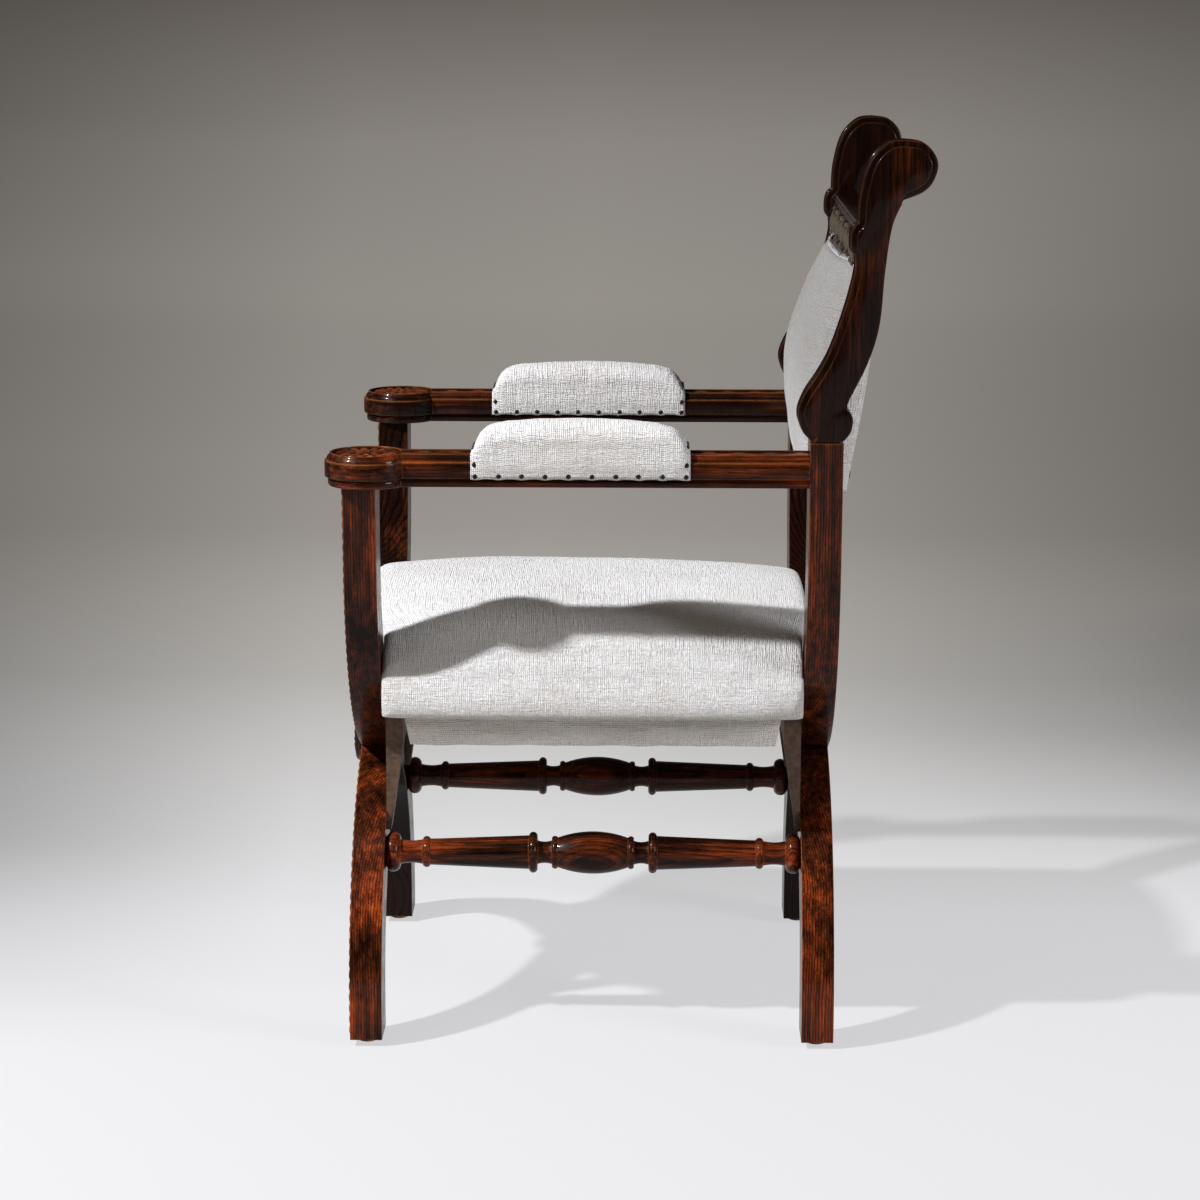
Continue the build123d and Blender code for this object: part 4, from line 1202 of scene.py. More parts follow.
def pad_ring(along):
    """Outer and inner points of one slice of a pad, about the bar's middle."""
    top = bar_top + along_list(pad_tops, along) * mm
    full = ease(top, bar_top + 1.5 * mm, bar_top + 24 * mm)
    half = (26.3 + 3.1 * full) * mm
    shoulder = bar_top - 1.5 * mm + (top - bar_top) * 0.42
    low = pad_foot + (0.7 - 1.2 * near_nail(along) ** 2) * mm
    outer = []
    for step in range(skirt_steps):
        z = low + (shoulder - low) * step / skirt_steps
        swell = ease(z, low + 1 * mm, low + 19 * mm)
        pucker = 0.7 * mm * (1 - near_nail(along)) * mound(z - (low + 7 * mm), 9 * mm)
        outer.append((skirt_outside + (half - skirt_outside) * swell + pucker, z))
    for step in range(crown_steps):
        turn = math.pi / 2 * step / (crown_steps - 1)
        outer.append((
            half * max(math.cos(turn), 0.0) ** 0.66,
            shoulder + (top - shoulder) * math.sin(turn) ** 0.82,
        ))
    ceiling = bar_top + 0.3 * mm
    inner = []
    for step in range(skirt_steps):
        inner.append((skirt_inside, low + (ceiling - low) * step / skirt_steps))
    for step in range(crown_steps):
        inner.append((skirt_inside * (1 - step / (crown_steps - 1)), ceiling))
    ring = outer + [(-x, z) for x, z in reversed(outer[:-1])]
    ring += [(-x, z) for x, z in inner] + [(x, z) for x, z in reversed(inner[:-1])]
    return ring


print(len(pad_ring(pad_length / 2)), "points round a pad", round(pad_length), "mm long")

# %% The arm pads
def ring_lengths(ring):
    """Distance round a ring from its highest point."""
    lengths = [0.0]
    for (x0, z0), (x1, z1) in zip(ring, ring[1:]):
        lengths.append(lengths[-1] + math.hypot(x1 - x0, z1 - z0))
    return lengths


def pad_hold(place):
    """Only the crown of a pad swells; its skirts and ends are nailed."""
    along = (place.y - pad_box_low.y) / mm
    ends = ease(along, 10, 30) * (1 - ease(along, pad_length - 30, pad_length - 10))
    return ease(place.z, bar_top + 0.008, bar_top + 0.02) * ends


def arm_pad(name, side):
    """One stuffed arm pad with its weave running along the arm."""
    stations = 72
    points, maps = [], []
    for station in range(stations + 1):
        along = pad_length * station / stations
        ring = pad_ring(along)
        lengths = ring_lengths(ring)
        for (x, z), length in zip(ring, lengths):
            crinkle = noise.noise(Vector((x * 60, along * 0.06, z * 60))) * 0.35 * mm
            on_cloth = abs(x) > skirt_outside or z > bar_top + 1 * mm
            crinkle *= ease(z, bar_top - 0.02, bar_top + 0.01) * (1 if on_cloth else 0)
            y = pad_box_low.y + along * mm
            points.append((side * arm_side + x * (1 + crinkle / 0.03), y, z + crinkle))
            maps.append((y, length + 0.3 * side))
    mesh = bpy.data.meshes.new(name)
    mesh.from_pydata(points, [], loft_faces(stations + 1, len(ring)))
    map_cloth(mesh, maps)
    turn_outwards(mesh)
    made = place_mesh(name, mesh, pad_linen)
    push_out(made, 3.0, 0.0016, pad_hold)
    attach(made, "root")
    return made


for name, side in (("left", 1), ("right", -1)):
    pad = arm_pad(f"linen_arm_pad_{name}", side)
    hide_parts(f"arm_pad_{name}")
    print(pad.name, len(pad.data.vertices), "points")

# %% [markdown]
# ## Dome nails with Geometry Nodes
# Thirty nails hold each pad. They are all one shape, so a Geometry Nodes tree makes the shape once
# and copies it to a cloud of points. Each point carries a direction, and the tree turns the copy
# to face it. The tree ends in Realize Instances and Set Material, and its result becomes a mesh.

# %% Helpers for trees that copy a shape
def input_names(tree):
    """Identifier of each named input of a tree."""
    return {
        item.name: item.identifier for item in tree.interface.items_tree
        if item.item_type == "SOCKET" and item.in_out == "INPUT"
    }


def new_tree(name, inputs):
    """A Geometry Nodes tree with its named inputs, and its two end nodes."""
    tree = bpy.data.node_groups.new(name, "GeometryNodeTree")
    tree.interface.new_socket(name="Geometry", in_out="INPUT", socket_type="NodeSocketGeometry")
    for label, kind in inputs:
        tree.interface.new_socket(name=label, in_out="INPUT", socket_type=kind)
    tree.interface.new_socket(name="Geometry", in_out="OUTPUT", socket_type="NodeSocketGeometry")
    return tree, tree.nodes.new("NodeGroupInput"), tree.nodes.new("NodeGroupOutput")


def facing_copies(tree, points, shape, scale):
    """Scaled copies of a shape on points, each turned the way its point faces."""
    facing = add_node(tree, "GeometryNodeInputNamedAttribute", {"Name": "facing"},
                      data_type="FLOAT_VECTOR")
    turned = add_node(tree, "FunctionNodeAlignRotationToVector", {"Vector": facing.outputs[0]},
                      axis="Z")
    return add_node(tree, "GeometryNodeInstanceOnPoints", {
        "Points": points, "Instance": shape, "Rotation": turned.outputs[0], "Scale": scale,
    }).outputs[0]


def facing_points(name, places):
    """A cloud of points from a list of places, each with the way it faces."""
    cloud = bpy.data.meshes.new(name)
    cloud.from_pydata([tuple(point) for point, _ in places], [], [])
    layer = cloud.attributes.new("facing", "FLOAT_VECTOR", "POINT")
    layer.data.foreach_set("vector", [part for _, way in places for part in way])
    return cloud


def close_tree(tree, instances, material, group_output):
    """Make the copies real, give them their material, and end the tree."""
    real = add_node(tree, "GeometryNodeRealizeInstances", {"Geometry": instances}).outputs[0]
    finished = add_node(tree, "GeometryNodeSetMaterial", {"Geometry": real, "Material": material})
    tree.links.new(finished.outputs[0], group_output.inputs[0])


def run_tree(name, tree, mesh, values):
    """Run a tree on a mesh and keep what it makes as a plain piece on the chair."""
    holder = bpy.data.objects.new(name + "_source", mesh)
    bpy.context.scene.collection.objects.link(holder)
    modifier = holder.modifiers.new("tree", "NODES")
    modifier.node_group = tree
    for label, value in values.items():
        modifier[input_names(tree)[label]] = value
    grown = holder.evaluated_get(bpy.context.evaluated_depsgraph_get())
    result = bpy.data.meshes.new_from_object(grown)
    result.name = name
    bpy.data.objects.remove(holder)
    made = bpy.data.objects.new(name, result)
    bpy.context.scene.collection.objects.link(made)
    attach(made, "root")
    return made


print("tree helpers ready")

# %% A tree that sets nails
nail_tree, tree_in, tree_out = new_tree("nail_tree", [
    ("Radius", "NodeSocketFloat"), ("Height", "NodeSocketFloat"), ("Material", "NodeSocketMaterial"),
])
dome = add_node(nail_tree, "GeometryNodeMeshUVSphere", {"Segments": 14, "Rings": 8, "Radius": 1.0})
size = add_node(nail_tree, "ShaderNodeCombineXYZ", {
    "X": tree_in.outputs["Radius"], "Y": tree_in.outputs["Radius"], "Z": tree_in.outputs["Height"],
})
copies = facing_copies(nail_tree, tree_in.outputs["Geometry"], dome.outputs[0], size.outputs[0])
rounded_copies = add_node(nail_tree, "GeometryNodeSetShadeSmooth", {"Geometry": copies})
close_tree(nail_tree, rounded_copies.outputs[0], tree_in.outputs["Material"], tree_out)
print("nail tree", len(nail_tree.nodes), "nodes")

# %% [markdown]
# ## The nails of the arm pads
# A row of ten nails runs along each lower edge of a pad, with one more above it at either end, and
# three hold each end on top. They were set by eye, so each is up to a millimetre off its mark.
# That drift is a noise whose seed was set in the first cell, so it is the same in every run.

# %% The nails of the arm pads
nail_radius, nail_height = 2.9 * mm, 1.6 * mm


def pad_nail_places(arm):
    """Where the nails of one pad stand, and the way each one faces; arm is 1 left and -1 right."""
    places = []
    for side in (1, -1):
        for index in range(nail_count):
            along = nail_first + index * nail_pitch
            drift = noise.noise_vector(Vector((index * 3.1, side, 0.5))) * 1.3 * mm
            low = pad_foot + nail_rise + drift.z
            places.append(((side * 26.5 * mm, along * mm + drift.y, low), (side, 0, 0.05)))
        for along in (nail_first - 0.6, nail_last + 0.6):
            places.append(((side * 27.3 * mm, along * mm, pad_foot + 17.0 * mm), (side, 0, 0.1)))
    for along in (3.4, pad_length - 3.4):
        lean = -0.6 if along < pad_length / 2 else 0.6
        rise = bar_top + along_list(pad_tops, along) * mm
        for x in (-17, 0, 17):
            places.append(((x * mm, along * mm, rise - 0.6 * mm), (0, lean, 1)))
    return [((arm * arm_side + x, pad_box_low.y + y, z), way) for (x, y, z), way in places]


for name, side in (("left", 1), ("right", -1)):
    places = pad_nail_places(side)
    nails = run_tree(f"dome_nails_{name}", nail_tree, facing_points(f"nail_places_{name}", places), {
        "Radius": nail_radius, "Height": nail_height, "Material": black_nail,
    })
    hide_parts(f"arm_nails_{name}")
    print(nails.name, len(places), "nails")

# %% [markdown]
# ## Panels of cloth
# The outside of the back, the strips on the seat's side rails and the dust cloth below are single
# layers. Each is a grid of points with a thickness, closed at its rim, with a formula for its sag
# or bulge and a little unevenness, because hand-laid cloth is never flat.

# %% Helper for a panel of cloth
def cloth_panel(name, place_at, flat, steps, thick, material, away):
    """A thin closed panel: place_at gives a point for shares across and up the cloth."""
    across_steps, up_steps = steps
    points, maps = [], []
    for layer_index in (0, 1):
        for row in range(up_steps + 1):
            for column in range(across_steps + 1):
                s, t = column / across_steps, row / up_steps
                point = Vector(place_at(s, t)) - Vector(away) * thick * layer_index
                points.append(tuple(point))
                maps.append((s * flat[0], t * flat[1]))
    wide = across_steps + 1
    count = wide * (up_steps + 1)
    faces = []
    for row in range(up_steps):
        for column in range(across_steps):
            a = row * wide + column
            faces.append((a, a + 1, a + wide + 1, a + wide))
            faces.append((count + a + wide, count + a + wide + 1, count + a + 1, count + a))
    rim = list(range(wide))
    rim += [row * wide + across_steps for row in range(1, up_steps + 1)]
    rim += [up_steps * wide + column for column in range(across_steps - 1, -1, -1)]
    rim += [row * wide for row in range(up_steps - 1, 0, -1)]
    for first, second in zip(rim, rim[1:] + rim[:1]):
        faces.append((second, first, count + first, count + second))
    mesh = bpy.data.meshes.new(name)
    mesh.from_pydata(points, [], faces)
    map_cloth(mesh, maps)
    turn_outwards(mesh)
    made = place_mesh(name, mesh, material, 60)
    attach(made, "root")
    return made


print("panels ready")

# %% [markdown]
# ## The outside of the back
# The cloth behind the back is tacked to the frame. It bows out a little between the tacks and
# turns forward round both sides. Its formula starts on the leaning plane of the frame's rear, adds
# the bow, and at the sides takes a reach away, which is shorter where the rear posts stand.

# %% The outside of the back
outside_low, outside_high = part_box("outside_back_cloth")
outside_half = outside_high.x
cloth_stand, wrap_reach, wrap_width = 0.0018, 0.028, 0.0143
flat_part, wrapped_part = 0.9, 0.1
post_top, post_rear = 0.7105, 0.2408


def wrapped_reach(z):
    """How far the cloth turns forward at its sides: less where the rear posts stand in front."""
    return min(wrap_reach, lean_plane(z) + cloth_stand - post_rear) if z < post_top else wrap_reach


def outside_place(s, t):
    """A point of the cloth behind the back, bowed outwards and turned in at its sides."""
    u = 2 * s - 1
    z = outside_low.z - 0.004 + (outside_high.z - outside_low.z + 0.004) * t
    z += noise.noise(Vector((s * 60, 3.0, 0.0))) * 0.0016 * (1 - ease(t, 0.0, 0.1))
    flat_share = min(abs(u) / flat_part, 1.0)
    turned = max(abs(u) - flat_part, 0) / wrapped_part
    bow = 0.0046 * math.sin(math.pi * min(t * 1.15, 1.0)) * mound(flat_share, 1.06)
    bow += noise.noise(Vector((u * 3.2, z * 14, 1.0))) * 0.0009 * (1 - turned)
    bow *= ease(t, 0.04, 0.3)
    x = math.copysign(outside_half * flat_share + wrap_width * turned, u)
    y = lean_plane(z) + cloth_stand + max(bow, 0.0) * (1 - turned) - wrapped_reach(z) * turned**1.6
    return (x, y, z)


outside_flat = (2 * (outside_half + 0.03), 0.235)
linen_thick, jute_thick = 0.0014, 0.0012
outside = cloth_panel("outside_back_linen", outside_place, outside_flat, (120, 44), linen_thick,
                      outside_linen, (0, math.cos(lean_angle), -math.sin(lean_angle)))
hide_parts("outside_back_cloth")
print("outside back", outside_low, outside_high)

# %% [markdown]
# ## The strips below the seat and the dust cloth
# A strip of linen covers the dropped part of each side rail and hangs a little loose at its lower
# edge. A jute cloth closes the seat from below. Both are tacked tight, so a short formula is closer
# to them than a cloth simulation, which would add folds.

# %% The strips below the seat and the dust cloth
def side_strip(name, side):
    """Linen over the dropped part of a side rail, a little loose at its lower edge."""
    low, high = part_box(f"seat_side_cloth_{name}")
    face = high.x if side > 0 else low.x

    def place_at(s, t):
        half = (high.y - low.y) / 2 - 0.008 * (1 - t)
        y = (low.y + high.y) / 2 + half * (2 * s - 1)
        loose = 0.0058 * (1 - t) ** 0.8 + noise.noise(Vector((y * 22, t * 2.5, side))) * 0.0013
        hem = noise.noise(Vector((y * 30, 9.0, side))) * 0.0012 * (1 - t)
        return (face + side * max(loose, 0.0), y, low.z - 0.001 + hem + (high.z - low.z + 0.0008) * t)

    made = cloth_panel(f"seat_side_linen_{name}", place_at, (high.y - low.y, high.z - low.z),
                       (150, 12), linen_thick, strip_linen, (side, 0, 0))
    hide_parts(f"seat_side_cloth_{name}")
    return made


for name, side in (("left", 1), ("right", -1)):
    print(side_strip(name, side).name)

dust_low, dust_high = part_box("seat_bottom_cloth")


def dust_place(s, t):
    """The dust cloth sags a little between the rails."""
    x = dust_low.x + (dust_high.x - dust_low.x) * s
    y = dust_low.y + (dust_high.y - dust_low.y) * t
    sag = 0.004 * mound(2 * s - 1, 1.02) * mound(2 * t - 1, 1.02)
    return (x, y, dust_low.z + 0.0002 - sag)


dust_size = (dust_high.x - dust_low.x, dust_high.y - dust_low.y)
dust = cloth_panel("dust_cloth", dust_place, dust_size, (40, 46), jute_thick, jute, (0, 0, -1))
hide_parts("seat_bottom_cloth")
print("dust cloth", dust_size)

# %% [markdown]
# ## Frayed edges
# The linen was cut and left raw above the stuffed back and below the outside of the back, so short
# threads stand out along those edges. Another Geometry Nodes tree copies one tapered thread to
# points along each edge and gives every copy its own length, from a fixed seed.

# %% A tree for frayed threads
thread_count, shortest_thread, thread_thickness = 420, 0.35, 0.0005
thread_tree, tree_in, tree_out = new_tree("thread_tree", [
    ("Thickness", "NodeSocketFloat"), ("Length", "NodeSocketFloat"), ("Seed", "NodeSocketInt"),
    ("Material", "NodeSocketMaterial"),
])
thread = add_node(thread_tree, "GeometryNodeMeshCone", {
    "Vertices": 4, "Radius Top": 0.35, "Radius Bottom": 1.0, "Depth": 1.0,
})
varied = add_node(thread_tree, "FunctionNodeRandomValue", {"Seed": tree_in.outputs["Seed"]})
longer = sum_node(thread_tree, "ADD", varied.outputs[1], shortest_thread)
long = sum_node(thread_tree, "MULTIPLY", longer, tree_in.outputs["Length"])
size = add_node(thread_tree, "ShaderNodeCombineXYZ", {
    "X": tree_in.outputs["Thickness"], "Y": tree_in.outputs["Thickness"], "Z": long,
})
copies = facing_copies(
    thread_tree, tree_in.outputs["Geometry"], thread.outputs[0], size.outputs[0],
)
close_tree(thread_tree, copies, tree_in.outputs["Material"], tree_out)
print("thread tree", len(thread_tree.nodes), "nodes")

# %% The two frayed edges
def frayed_edge(name, places, length, seed):
    """Threads at places, each given as a point and the way it points."""
    return run_tree(name, thread_tree, facing_points(name + "_places", places), {
        "Thickness": thread_thickness, "Length": length, "Seed": seed, "Material": raw_thread,
    })


def back_top_places():
    """Threads along the top of the stuffed back, leaning up the carved rail."""
    places = []
    for index in range(thread_count):
        x = back_half * (2 * (index + 0.5) / thread_count - 1)
        stray = noise.noise_vector(Vector((index * 0.37, 0.0, 8.0)))
        y, z = back_shape(Vector((x, back_depth * 0.12, back_top)))[1:]
        places.append(((x, y, z - 0.0008), (stray.x * 0.9, 0.35 + stray.y * 0.6, 0.9)))
    return places


def back_foot_places():
    """Threads hanging from the lower edge of the cloth behind the back."""
    places = []
    for index in range(thread_count):
        s = (index + 0.5) / thread_count
        stray = noise.noise_vector(Vector((index * 0.41, 5.0, 8.0)))
        places.append((outside_place(s, 0.004), (stray.x * 0.7, stray.y * 0.5, -1)))
    return places


top_fray = frayed_edge("back_top_fray", back_top_places(), 0.0045, 3)
foot_fray = frayed_edge("back_foot_fray", back_foot_places(), 0.003, 4)
print(len(top_fray.data.polygons), "faces above the back,", len(foot_fray.data.polygons), "below")

# %% [markdown]
# ## Carving on the front of the crossed members
# The front of each curved member carries a running laurel between two rows of beads. Both follow
# the edge of the wood, so their paths are read from the CAD pieces: the outline of a front face,
# moved inwards by a few millimetres and cut off near the foot, the arm and the boss. Drawing the
# paths a second time could put them off the wood.

# %% The outline of a front face
front_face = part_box("front_member_left")[0].y


def face_outline(node):
    """The outline of a member's front face as closed loops of points."""
    mesh = nodes[node].data
    sides = {}
    for polygon in mesh.polygons:
        if polygon.normal.y < -0.99 and abs(polygon.center.y - front_face) < 1e-4:
            for a, b in polygon.edge_keys:
                sides[(a, b)] = sides.get((a, b), 0) + 1
    links = {}
    for (a, b), uses in sides.items():
        if uses == 1:
            links.setdefault(a, []).append(b)
            links.setdefault(b, []).append(a)
    loops, seen = [], set()
    for first in links:
        if first in seen:
            continue
        loop, here = [], first
        while here is not None:
            seen.add(here)
            loop.append(mesh.vertices[here].co.copy())
            here = next((after for after in links[here] if after not in seen), None)
        loops.append(loop)
    return loops


for name in ("left", "right"):
    print(name, [len(loop) for loop in face_outline(f"front_member_{name}")], "points round the face")

# %% Paths along a front face
path_step, widest_gap, shortest_run = 0.004, 0.012, 4
foot_clear, arm_clear, boss_clear = 0.016, 0.004, 0.062
bead_inset, laurel_inset = 0.0032, 0.0205


def segment_gap(point, start, end):
    """Distance from a point to a segment."""
    line = end - start
    share = max(0.0, min(1.0, (point - start).dot(line) / max(line.length_squared, 1e-12)))
    return (point - start - line * share).length


def inset_paths(node, inset, rising_only=False):
    """Open paths inside a face's outline, clear of its ends and of the boss in the middle."""
    paths = []
    for loop in face_outline(node):
        area = sum(a.x * b.z - b.x * a.z for a, b in zip(loop, loop[1:] + loop[:1]))
        turn = 1 if area > 0 else -1
        dense = []
        for a, b in zip(loop, loop[1:] + loop[:1]):
            parts = max(1, round((b - a).length / path_step))
            along = (b - a).normalized()
            inward = Vector((-along.z, 0, along.x)) * turn
            for part in range(parts):
                dense.append((a.lerp(b, (part + 0.5) / parts) + inward * inset, along * turn))
        run = []
        for point, along in dense + dense[:1]:
            middle = math.hypot(point.x, point.z - boss_middle.z)
            ends = foot_clear < point.z < arm_low.z - arm_clear and middle > boss_clear
            edge = min(segment_gap(point, a, b) for a, b in zip(loop, loop[1:] + loop[:1]))
            fits = ends and edge > inset * 0.93 and (along.z > 0 or not rising_only)
            if fits and (not run or (point - run[-1]).length < widest_gap):
                run.append(point)
            else:
                if len(run) > shortest_run:
                    paths.append(run)
                run = [point] if fits else []
        if len(run) > shortest_run:
            paths.append(run)
    return paths


for name in ("left", "right"):
    print(name, [len(path) for path in inset_paths(f"front_member_{name}", bead_inset)], "in the paths")

# %% [markdown]
# ## Small carving along the paths
# A carver repeats one cut at even steps. This tree does the same: it divides a path into equal
# steps and sets one small carved shape at each, turned along the path. Leaf, stem and bead are all
# low domes of different lengths, and the leaf has a groove for its vein.

# %% Leaf, stem and bead
def carved_seed(name, half_length, half_width, height, split):
    """A small carved shape along X, standing up along Z; split gives it a vein."""
    points = []
    around, rings = 12, 4
    for ring in range(rings):
        share = math.cos(math.pi / 2 * ring / rings)
        rise = math.sin(math.pi / 2 * ring / rings)
        for turn in round_places(around):
            x = half_length * share * math.cos(turn)
            y = half_width * share * math.sin(turn) * (1 - split * 0.35 * math.cos(turn))
            groove = split * 0.5 * math.exp(-(y / (half_width * 0.3)) ** 2) * rise
            points.append((x, y, height * (rise - groove)))
    points.append((0, 0, height * (1 - 0.5 * split)))
    faces = loft_faces(rings, around, caps=False)
    top = (rings - 1) * around
    faces += [(top + step, top + (step + 1) % around, len(points) - 1) for step in range(around)]
    faces.append(tuple(reversed(range(around))))
    mesh = bpy.data.meshes.new(name)
    mesh.from_pydata(points, [], faces)
    return mesh


def laurel_seed(name, side):
    """One laurel leaf set out to a side and turned away from the stem."""
    leaf = carved_seed(name, 7.6 * mm, 2.9 * mm, 2.5 * mm, 1.0)
    turn = Matrix.Translation((1.5 * mm, side * 6.2 * mm, 0)) @ Matrix.Rotation(side * 0.62, 4, "Z")
    leaf.transform(turn)
    return leaf


bead_seed = carved_seed("bead_seed", 5.9 * mm, 2.0 * mm, 1.5 * mm, 0.0)
stem_seed = carved_seed("stem_seed", 7.0 * mm, 1.2 * mm, 1.5 * mm, 0.0)
print("bead and stem", len(bead_seed.polygons), len(stem_seed.polygons), "faces")

# %% A tree that carves along a path
carving_tree, tree_in, tree_out = new_tree("carving_tree", [
    ("Shape", "NodeSocketObject"), ("Pitch", "NodeSocketFloat"), ("Material", "NodeSocketMaterial"),
])
curves = add_node(carving_tree, "GeometryNodeMeshToCurve", {"Mesh": tree_in.outputs["Geometry"]})
stepped = add_node(carving_tree, "GeometryNodeResampleCurve", {
    "Curve": curves.outputs[0], "Length": tree_in.outputs["Pitch"],
}, mode="LENGTH")
shape = add_node(carving_tree, "GeometryNodeObjectInfo", {"Object": tree_in.outputs["Shape"]})
along = add_node(carving_tree, "GeometryNodeInputTangent")
turned = add_node(carving_tree, "FunctionNodeAxesToRotation", {
    "Primary Axis": (0.0, -1.0, 0.0), "Secondary Axis": along.outputs[0],
}, primary_axis="Z", secondary_axis="X")
copies = add_node(carving_tree, "GeometryNodeInstanceOnPoints", {
    "Points": stepped.outputs[0], "Instance": shape.outputs["Geometry"], "Rotation": turned.outputs[0],
})
rounded_copies = add_node(carving_tree, "GeometryNodeSetShadeSmooth", {"Geometry": copies.outputs[0]})
close_tree(carving_tree, rounded_copies.outputs[0], tree_in.outputs["Material"], tree_out)
print("carving tree", len(carving_tree.nodes), "nodes")

# %% Set the carving on the front members
def carve_along(name, paths, seeds, pitch):
    """Set carved shapes along paths on a member's front face."""
    made = []
    for index, seed in enumerate(seeds):
        source = bpy.data.meshes.new(f"{name}_{index}_paths")
        points, edges = [], []
        for path in paths:
            start = len(points)
            points += [(point.x, front_face + carving_sunk, point.z) for point in path]
            edges += [(start + step, start + step + 1) for step in range(len(path) - 1)]
        source.from_pydata(points, edges, [])
        holder = bpy.data.objects.new(seed.name, seed)
        bpy.context.scene.collection.objects.link(holder)
        made.append(run_tree(f"{name}_{index}", carving_tree, source, {
            "Shape": holder, "Pitch": pitch, "Material": front_oak,
        }))
        bpy.data.objects.remove(holder)
    return made


carving_sunk, bead_pitch, laurel_pitch = 0.0004, 0.0126, 0.0132
for name in ("left", "right"):
    node = f"front_member_{name}"
    rows = inset_paths(node, bead_inset)
    beads = carve_along(f"carved_beads_{name}", rows, [bead_seed], bead_pitch)
    stems = inset_paths(node, laurel_inset, True)
    sprig = [laurel_seed("leaf_seed_a", 1), laurel_seed("leaf_seed_b", -1), stem_seed]
    leaves = carve_along(f"carved_laurel_{name}", stems, sprig, laurel_pitch)
    print(name, [len(made.data.polygons) for made in beads + leaves])

# %% [markdown]
# ## Felt pads
# A thick felt disc is glued under each foot. It is a lathe turning: a side that bulges where the
# weight squeezes it, and small rounds above and below.

# %% Felt pads under the feet
felt_sides = 40
felt_profile = [
    (0.3, 0), (0.86, 0), (0.95, 0.06), (1.0, 0.25), (1.0, 0.6), (0.97, 0.88), (0.93, 1), (0.3, 1),
]


def felt_pad(node):
    """A squeezed felt disc in the place of a foot pad."""
    low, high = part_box(node)
    middle = (low + high) / 2
    radius, height = (high.x - low.x) / 2, high.z - low.z
    points = []
    for share, rise in felt_profile:
        for turn in round_places(felt_sides):
            x, y = math.cos(turn), math.sin(turn)
            wear = 1 + 0.015 * noise.noise(Vector((x * 2, y * 2, rise)))
            reach = min(radius * share * wear, radius)
            points.append((middle.x + reach * x, middle.y + reach * y, low.z + height * rise))
    faces = loft_faces(len(felt_profile), felt_sides)
    made = build_piece("felt_" + node, points, faces, pale_felt, 50)
    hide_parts(node)


for corner in ("front_left", "front_right", "rear_left", "rear_right"):
    felt_pad(f"foot_pad_{corner}")
print("four felt pads")

# %% [markdown]
# ## The floor
# The chair stands on one wide sheet of paper that curves up into a backdrop on the far side. A
# floor and a wall would meet in a line behind the chair; a curve has none.

# %% The floor
def floor_sheet():
    """A floor that curves up into a backdrop on the far side."""
    profile = [(9.0, 0.0), (2.0, 0.0), (-2.0, 0.0), (-7.0, 0.0)]
    for step in range(1, 13):
        turn = step / 12 * math.pi / 2
        profile.append((-7.0 - 3.0 * math.sin(turn), 3.0 - 3.0 * math.cos(turn)))
    profile.append((-10.0, 9.0))
    points = [(x, y, z) for x, z in profile for y in (-12.0, 12.0)]
    faces = [(2 * i, 2 * i + 1, 2 * i + 3, 2 * i + 2) for i in range(len(profile) - 1)]
    mesh = bpy.data.meshes.new("floor")
    mesh.from_pydata(points, [], faces)
    mesh.polygons.foreach_set("use_smooth", [True] * len(mesh.polygons))
    made = bpy.data.objects.new("floor", mesh)
    bpy.context.scene.collection.objects.link(made)
    return made


floor = floor_sheet()
print("floor laid")

# %% [markdown]
# ## The paper
# The paper is brightest round the chair and darker towards its sides, and its shade changes with
# distance. One value runs away from the camera and up the curve, two run sideways, and ramps turn
# them into a shade and a glow. Only the camera and the reflections see the glow, so the paper is
# pale without more light on the chair, and the chair's shadows stay.

# %% The paper of the floor
paper, paper_tree, paper_shader = new_material("paper")
paper_place = add_node(paper_tree, "ShaderNodeTexCoord").outputs["Object"]
paper_parts = add_node(paper_tree, "ShaderNodeSeparateXYZ", {0: paper_place}).outputs
away = sum_node(paper_tree, "SUBTRACT", 1.2, paper_parts["X"])
away = sum_node(paper_tree, "ADD", away, sum_node(paper_tree, "MULTIPLY", paper_parts["Z"], 7.0))
away = sum_node(paper_tree, "DIVIDE", away, 18.0)
to_left = sum_node(paper_tree, "SUBTRACT", -0.2, paper_parts["Y"])
to_right = sum_node(paper_tree, "ADD", paper_parts["Y"], 0.2)
narrow = colour_steps(paper_tree, away, [(0.09, (0.3,) * 3), (0.14, (1.0,) * 3)])
fall = colour_steps(paper_tree, away, [
    (0.08, (1.45,) * 3), (0.2, (1.25,) * 3), (0.3, (1.0,) * 3), (0.55, (1.0,) * 3), (0.8, (1.4,) * 3),
])
to_left = sum_node(paper_tree, "MULTIPLY", to_left, fall)
sideways = sum_node(paper_tree, "MAXIMUM", to_left, sum_node(paper_tree, "MULTIPLY", to_right, narrow))
reach = sum_node(paper_tree, "ADD", sum_node(paper_tree, "MULTIPLY", away, 4.0), 0.9)
sideways = sum_node(paper_tree, "DIVIDE", sideways, reach)
middle_glow = colour_steps(paper_tree, sideways, [
    (0.0, (1.03,) * 3), (0.3, (0.96,) * 3), (0.6, (0.7,) * 3), (1.0, (0.4,) * 3),
])
near_floor = colour_steps(paper_tree, away, [(0.05, (1.0,) * 3), (0.1, (0.0,) * 3)])
middle_glow = mix_colours(paper_tree, near_floor, middle_glow, (1, 1, 1))
shade = colour_steps(paper_tree, away, [
    (0.0, (0.27, 0.27, 0.28)), (0.08, (0.28, 0.28, 0.29)), (0.15, (0.28, 0.275, 0.27)),
    (0.25, (0.25, 0.235, 0.22)), (1.0, (0.2, 0.185, 0.17)),
])
shade = mix_colours(paper_tree, 1.0, shade, middle_glow, "MULTIPLY")
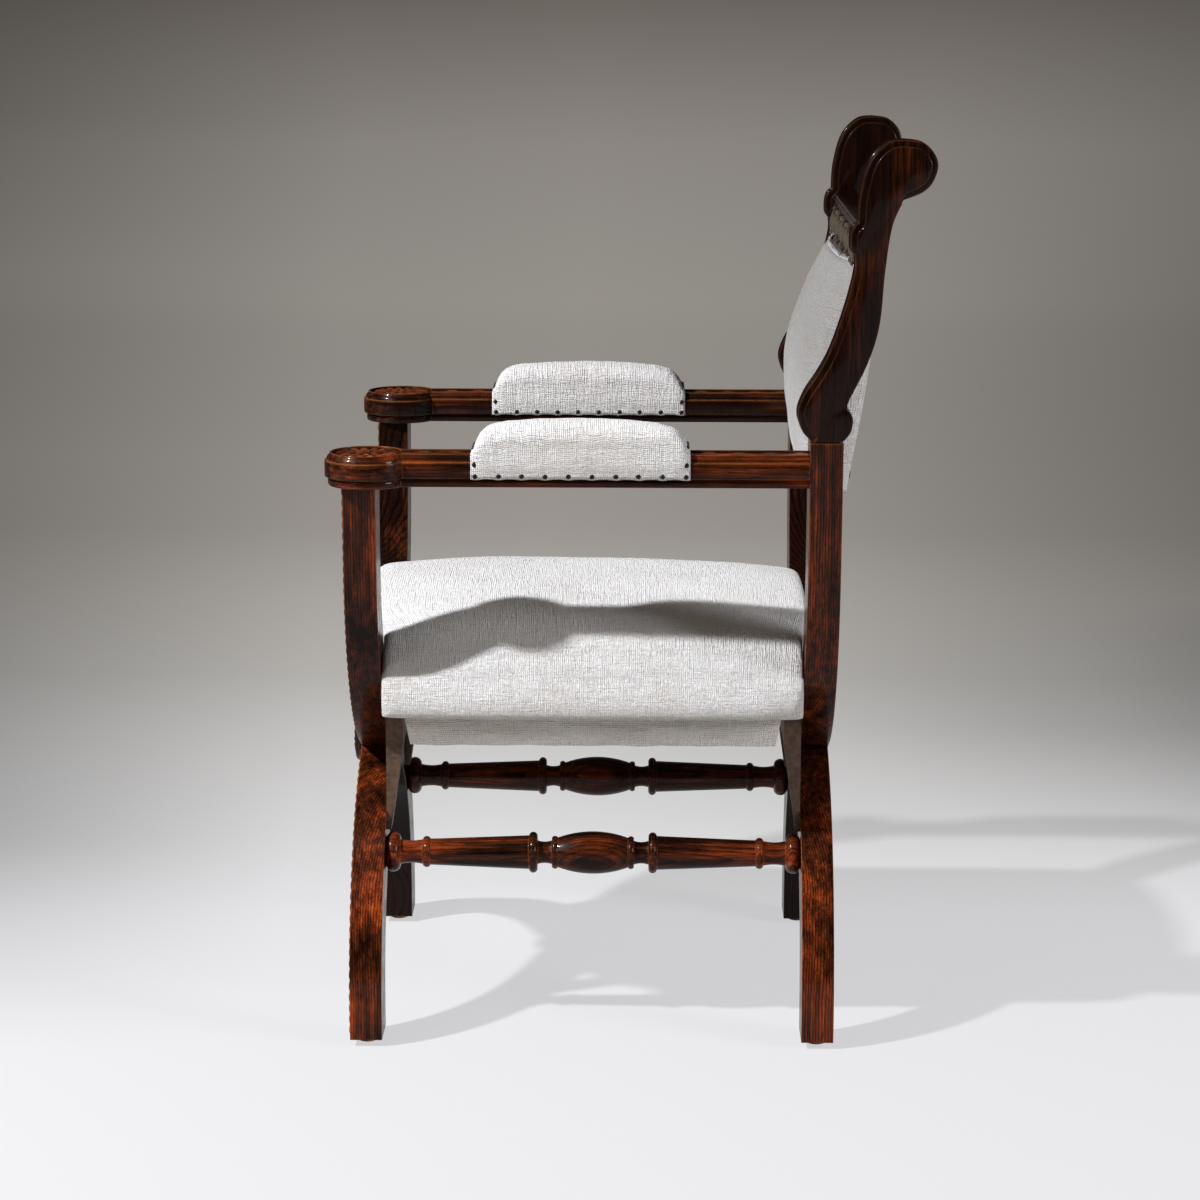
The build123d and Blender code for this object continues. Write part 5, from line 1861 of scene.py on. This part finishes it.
lighter = colour_steps(paper_tree, away, [(0.11, (0.6,) * 3), (0.2, (0.84,) * 3)])
shade = mix_colours(paper_tree, 1.0, shade, lighter, "MULTIPLY")
glow = colour_steps(paper_tree, away, [
    (0.0, (0.585, 0.59, 0.61)), (0.08, (0.57, 0.57, 0.585)), (0.16, (0.28, 0.27, 0.255)),
    (0.24, (0.21, 0.195, 0.18)), (0.5, (0.25, 0.235, 0.215)), (0.75, (0.21, 0.195, 0.18)),
    (1.0, (0.1, 0.09, 0.08)),
])
glow = mix_colours(paper_tree, 1.0, glow, middle_glow, "MULTIPLY")
rays = add_node(paper_tree, "ShaderNodeLightPath").outputs
seen = sum_node(paper_tree, "MAXIMUM", rays["Is Camera Ray"], rays["Is Glossy Ray"])
seen = sum_node(paper_tree, "MAXIMUM", seen, rays["Is Transmission Ray"])
shown = mix_colours(paper_tree, seen, (0.46, 0.43, 0.39), shade)
paper_tree.links.new(shown, paper_shader.inputs["Base Color"])
paper_tree.links.new(glow, paper_shader.inputs["Emission Color"])
paper_tree.links.new(seen, paper_shader.inputs["Emission Strength"])
paper_shader.inputs["Roughness"].default_value = 0.9
paper_shader.inputs["Specular IOR Level"].default_value = 0.1
floor.data.materials.append(paper)
print("paper", len(paper_tree.nodes), "nodes")

# %% [markdown]
# ## The lamps
# A small key lamp stands high in front and gives the shadows their edges. A grey net hangs in its
# beam and dims it on the chair's back, as it would in a studio. A wide lamp behind the chair
# draws its edges, and a weak warm one in front softens what the key lamp leaves dark.

# %% The lamps
def soft_lamp(name, place, aim, size, watts, colour=(1, 1, 1)):
    """A square soft lamp turned towards a point."""
    data = bpy.data.lights.new(name, "AREA")
    data.shape, data.size, data.energy, data.color = "SQUARE", size, watts, colour
    lamp = bpy.data.objects.new(name, data)
    direction = Vector(aim) - Vector(place)
    lamp.matrix_world = Matrix.Translation(place) @ direction.to_track_quat("-Z", "Y").to_matrix().to_4x4()
    bpy.context.scene.collection.objects.link(lamp)


def grey_net(lamp_place, edge_place, half_width, tall):
    """A net between a lamp and the chair's back, which dims the light above a line."""
    start, end = Vector(lamp_place), Vector(edge_place)
    foot = (start + end) / 2
    up = Vector((1, 0, 0)).cross(end - start).normalized()
    corners = [foot + Vector((side * half_width, 0, 0)) + up * rise
               for side, rise in ((-1, 0), (1, 0), (1, tall), (-1, tall))]
    mesh = bpy.data.meshes.new("grey_net")
    mesh.from_pydata([tuple(corner) for corner in corners], [], [(0, 1, 2, 3)])
    material, tree, _ = new_material("grey_net")
    clear = add_node(tree, "ShaderNodeBsdfTransparent", {"Color": (0.42, 0.42, 0.42, 1)})
    tree.links.new(clear.outputs[0], tree.nodes["Material Output"].inputs["Surface"])
    mesh.materials.append(material)
    made = bpy.data.objects.new("grey_net", mesh)
    bpy.context.scene.collection.objects.link(made)
    made.visible_camera = made.visible_glossy = made.visible_diffuse = False


key_place = (1.36, -2.58, 3.2)
soft_lamp("key_lamp", key_place, (0, 0, 0.5), 0.17, 295)
grey_net(key_place, (0, 0.2, 0.7), 0.7, 0.6)
soft_lamp("rear_lamp", (1.5, 3.0, 1.5), (0, 0.1, 0.6), 1.0, 65)
soft_lamp("front_lamp", (3.0, -2.4, 2.2), (0, 0, 0.5), 1.0, 13, (1, 0.82, 0.64))
world = bpy.data.worlds.new("world")
world.use_nodes = True
world.node_tree.nodes["Background"].inputs["Color"].default_value = (1, 0.87, 0.74, 1)
world.node_tree.nodes["Background"].inputs["Strength"].default_value = 0.075
bpy.context.scene.world = world
print("lamps set")
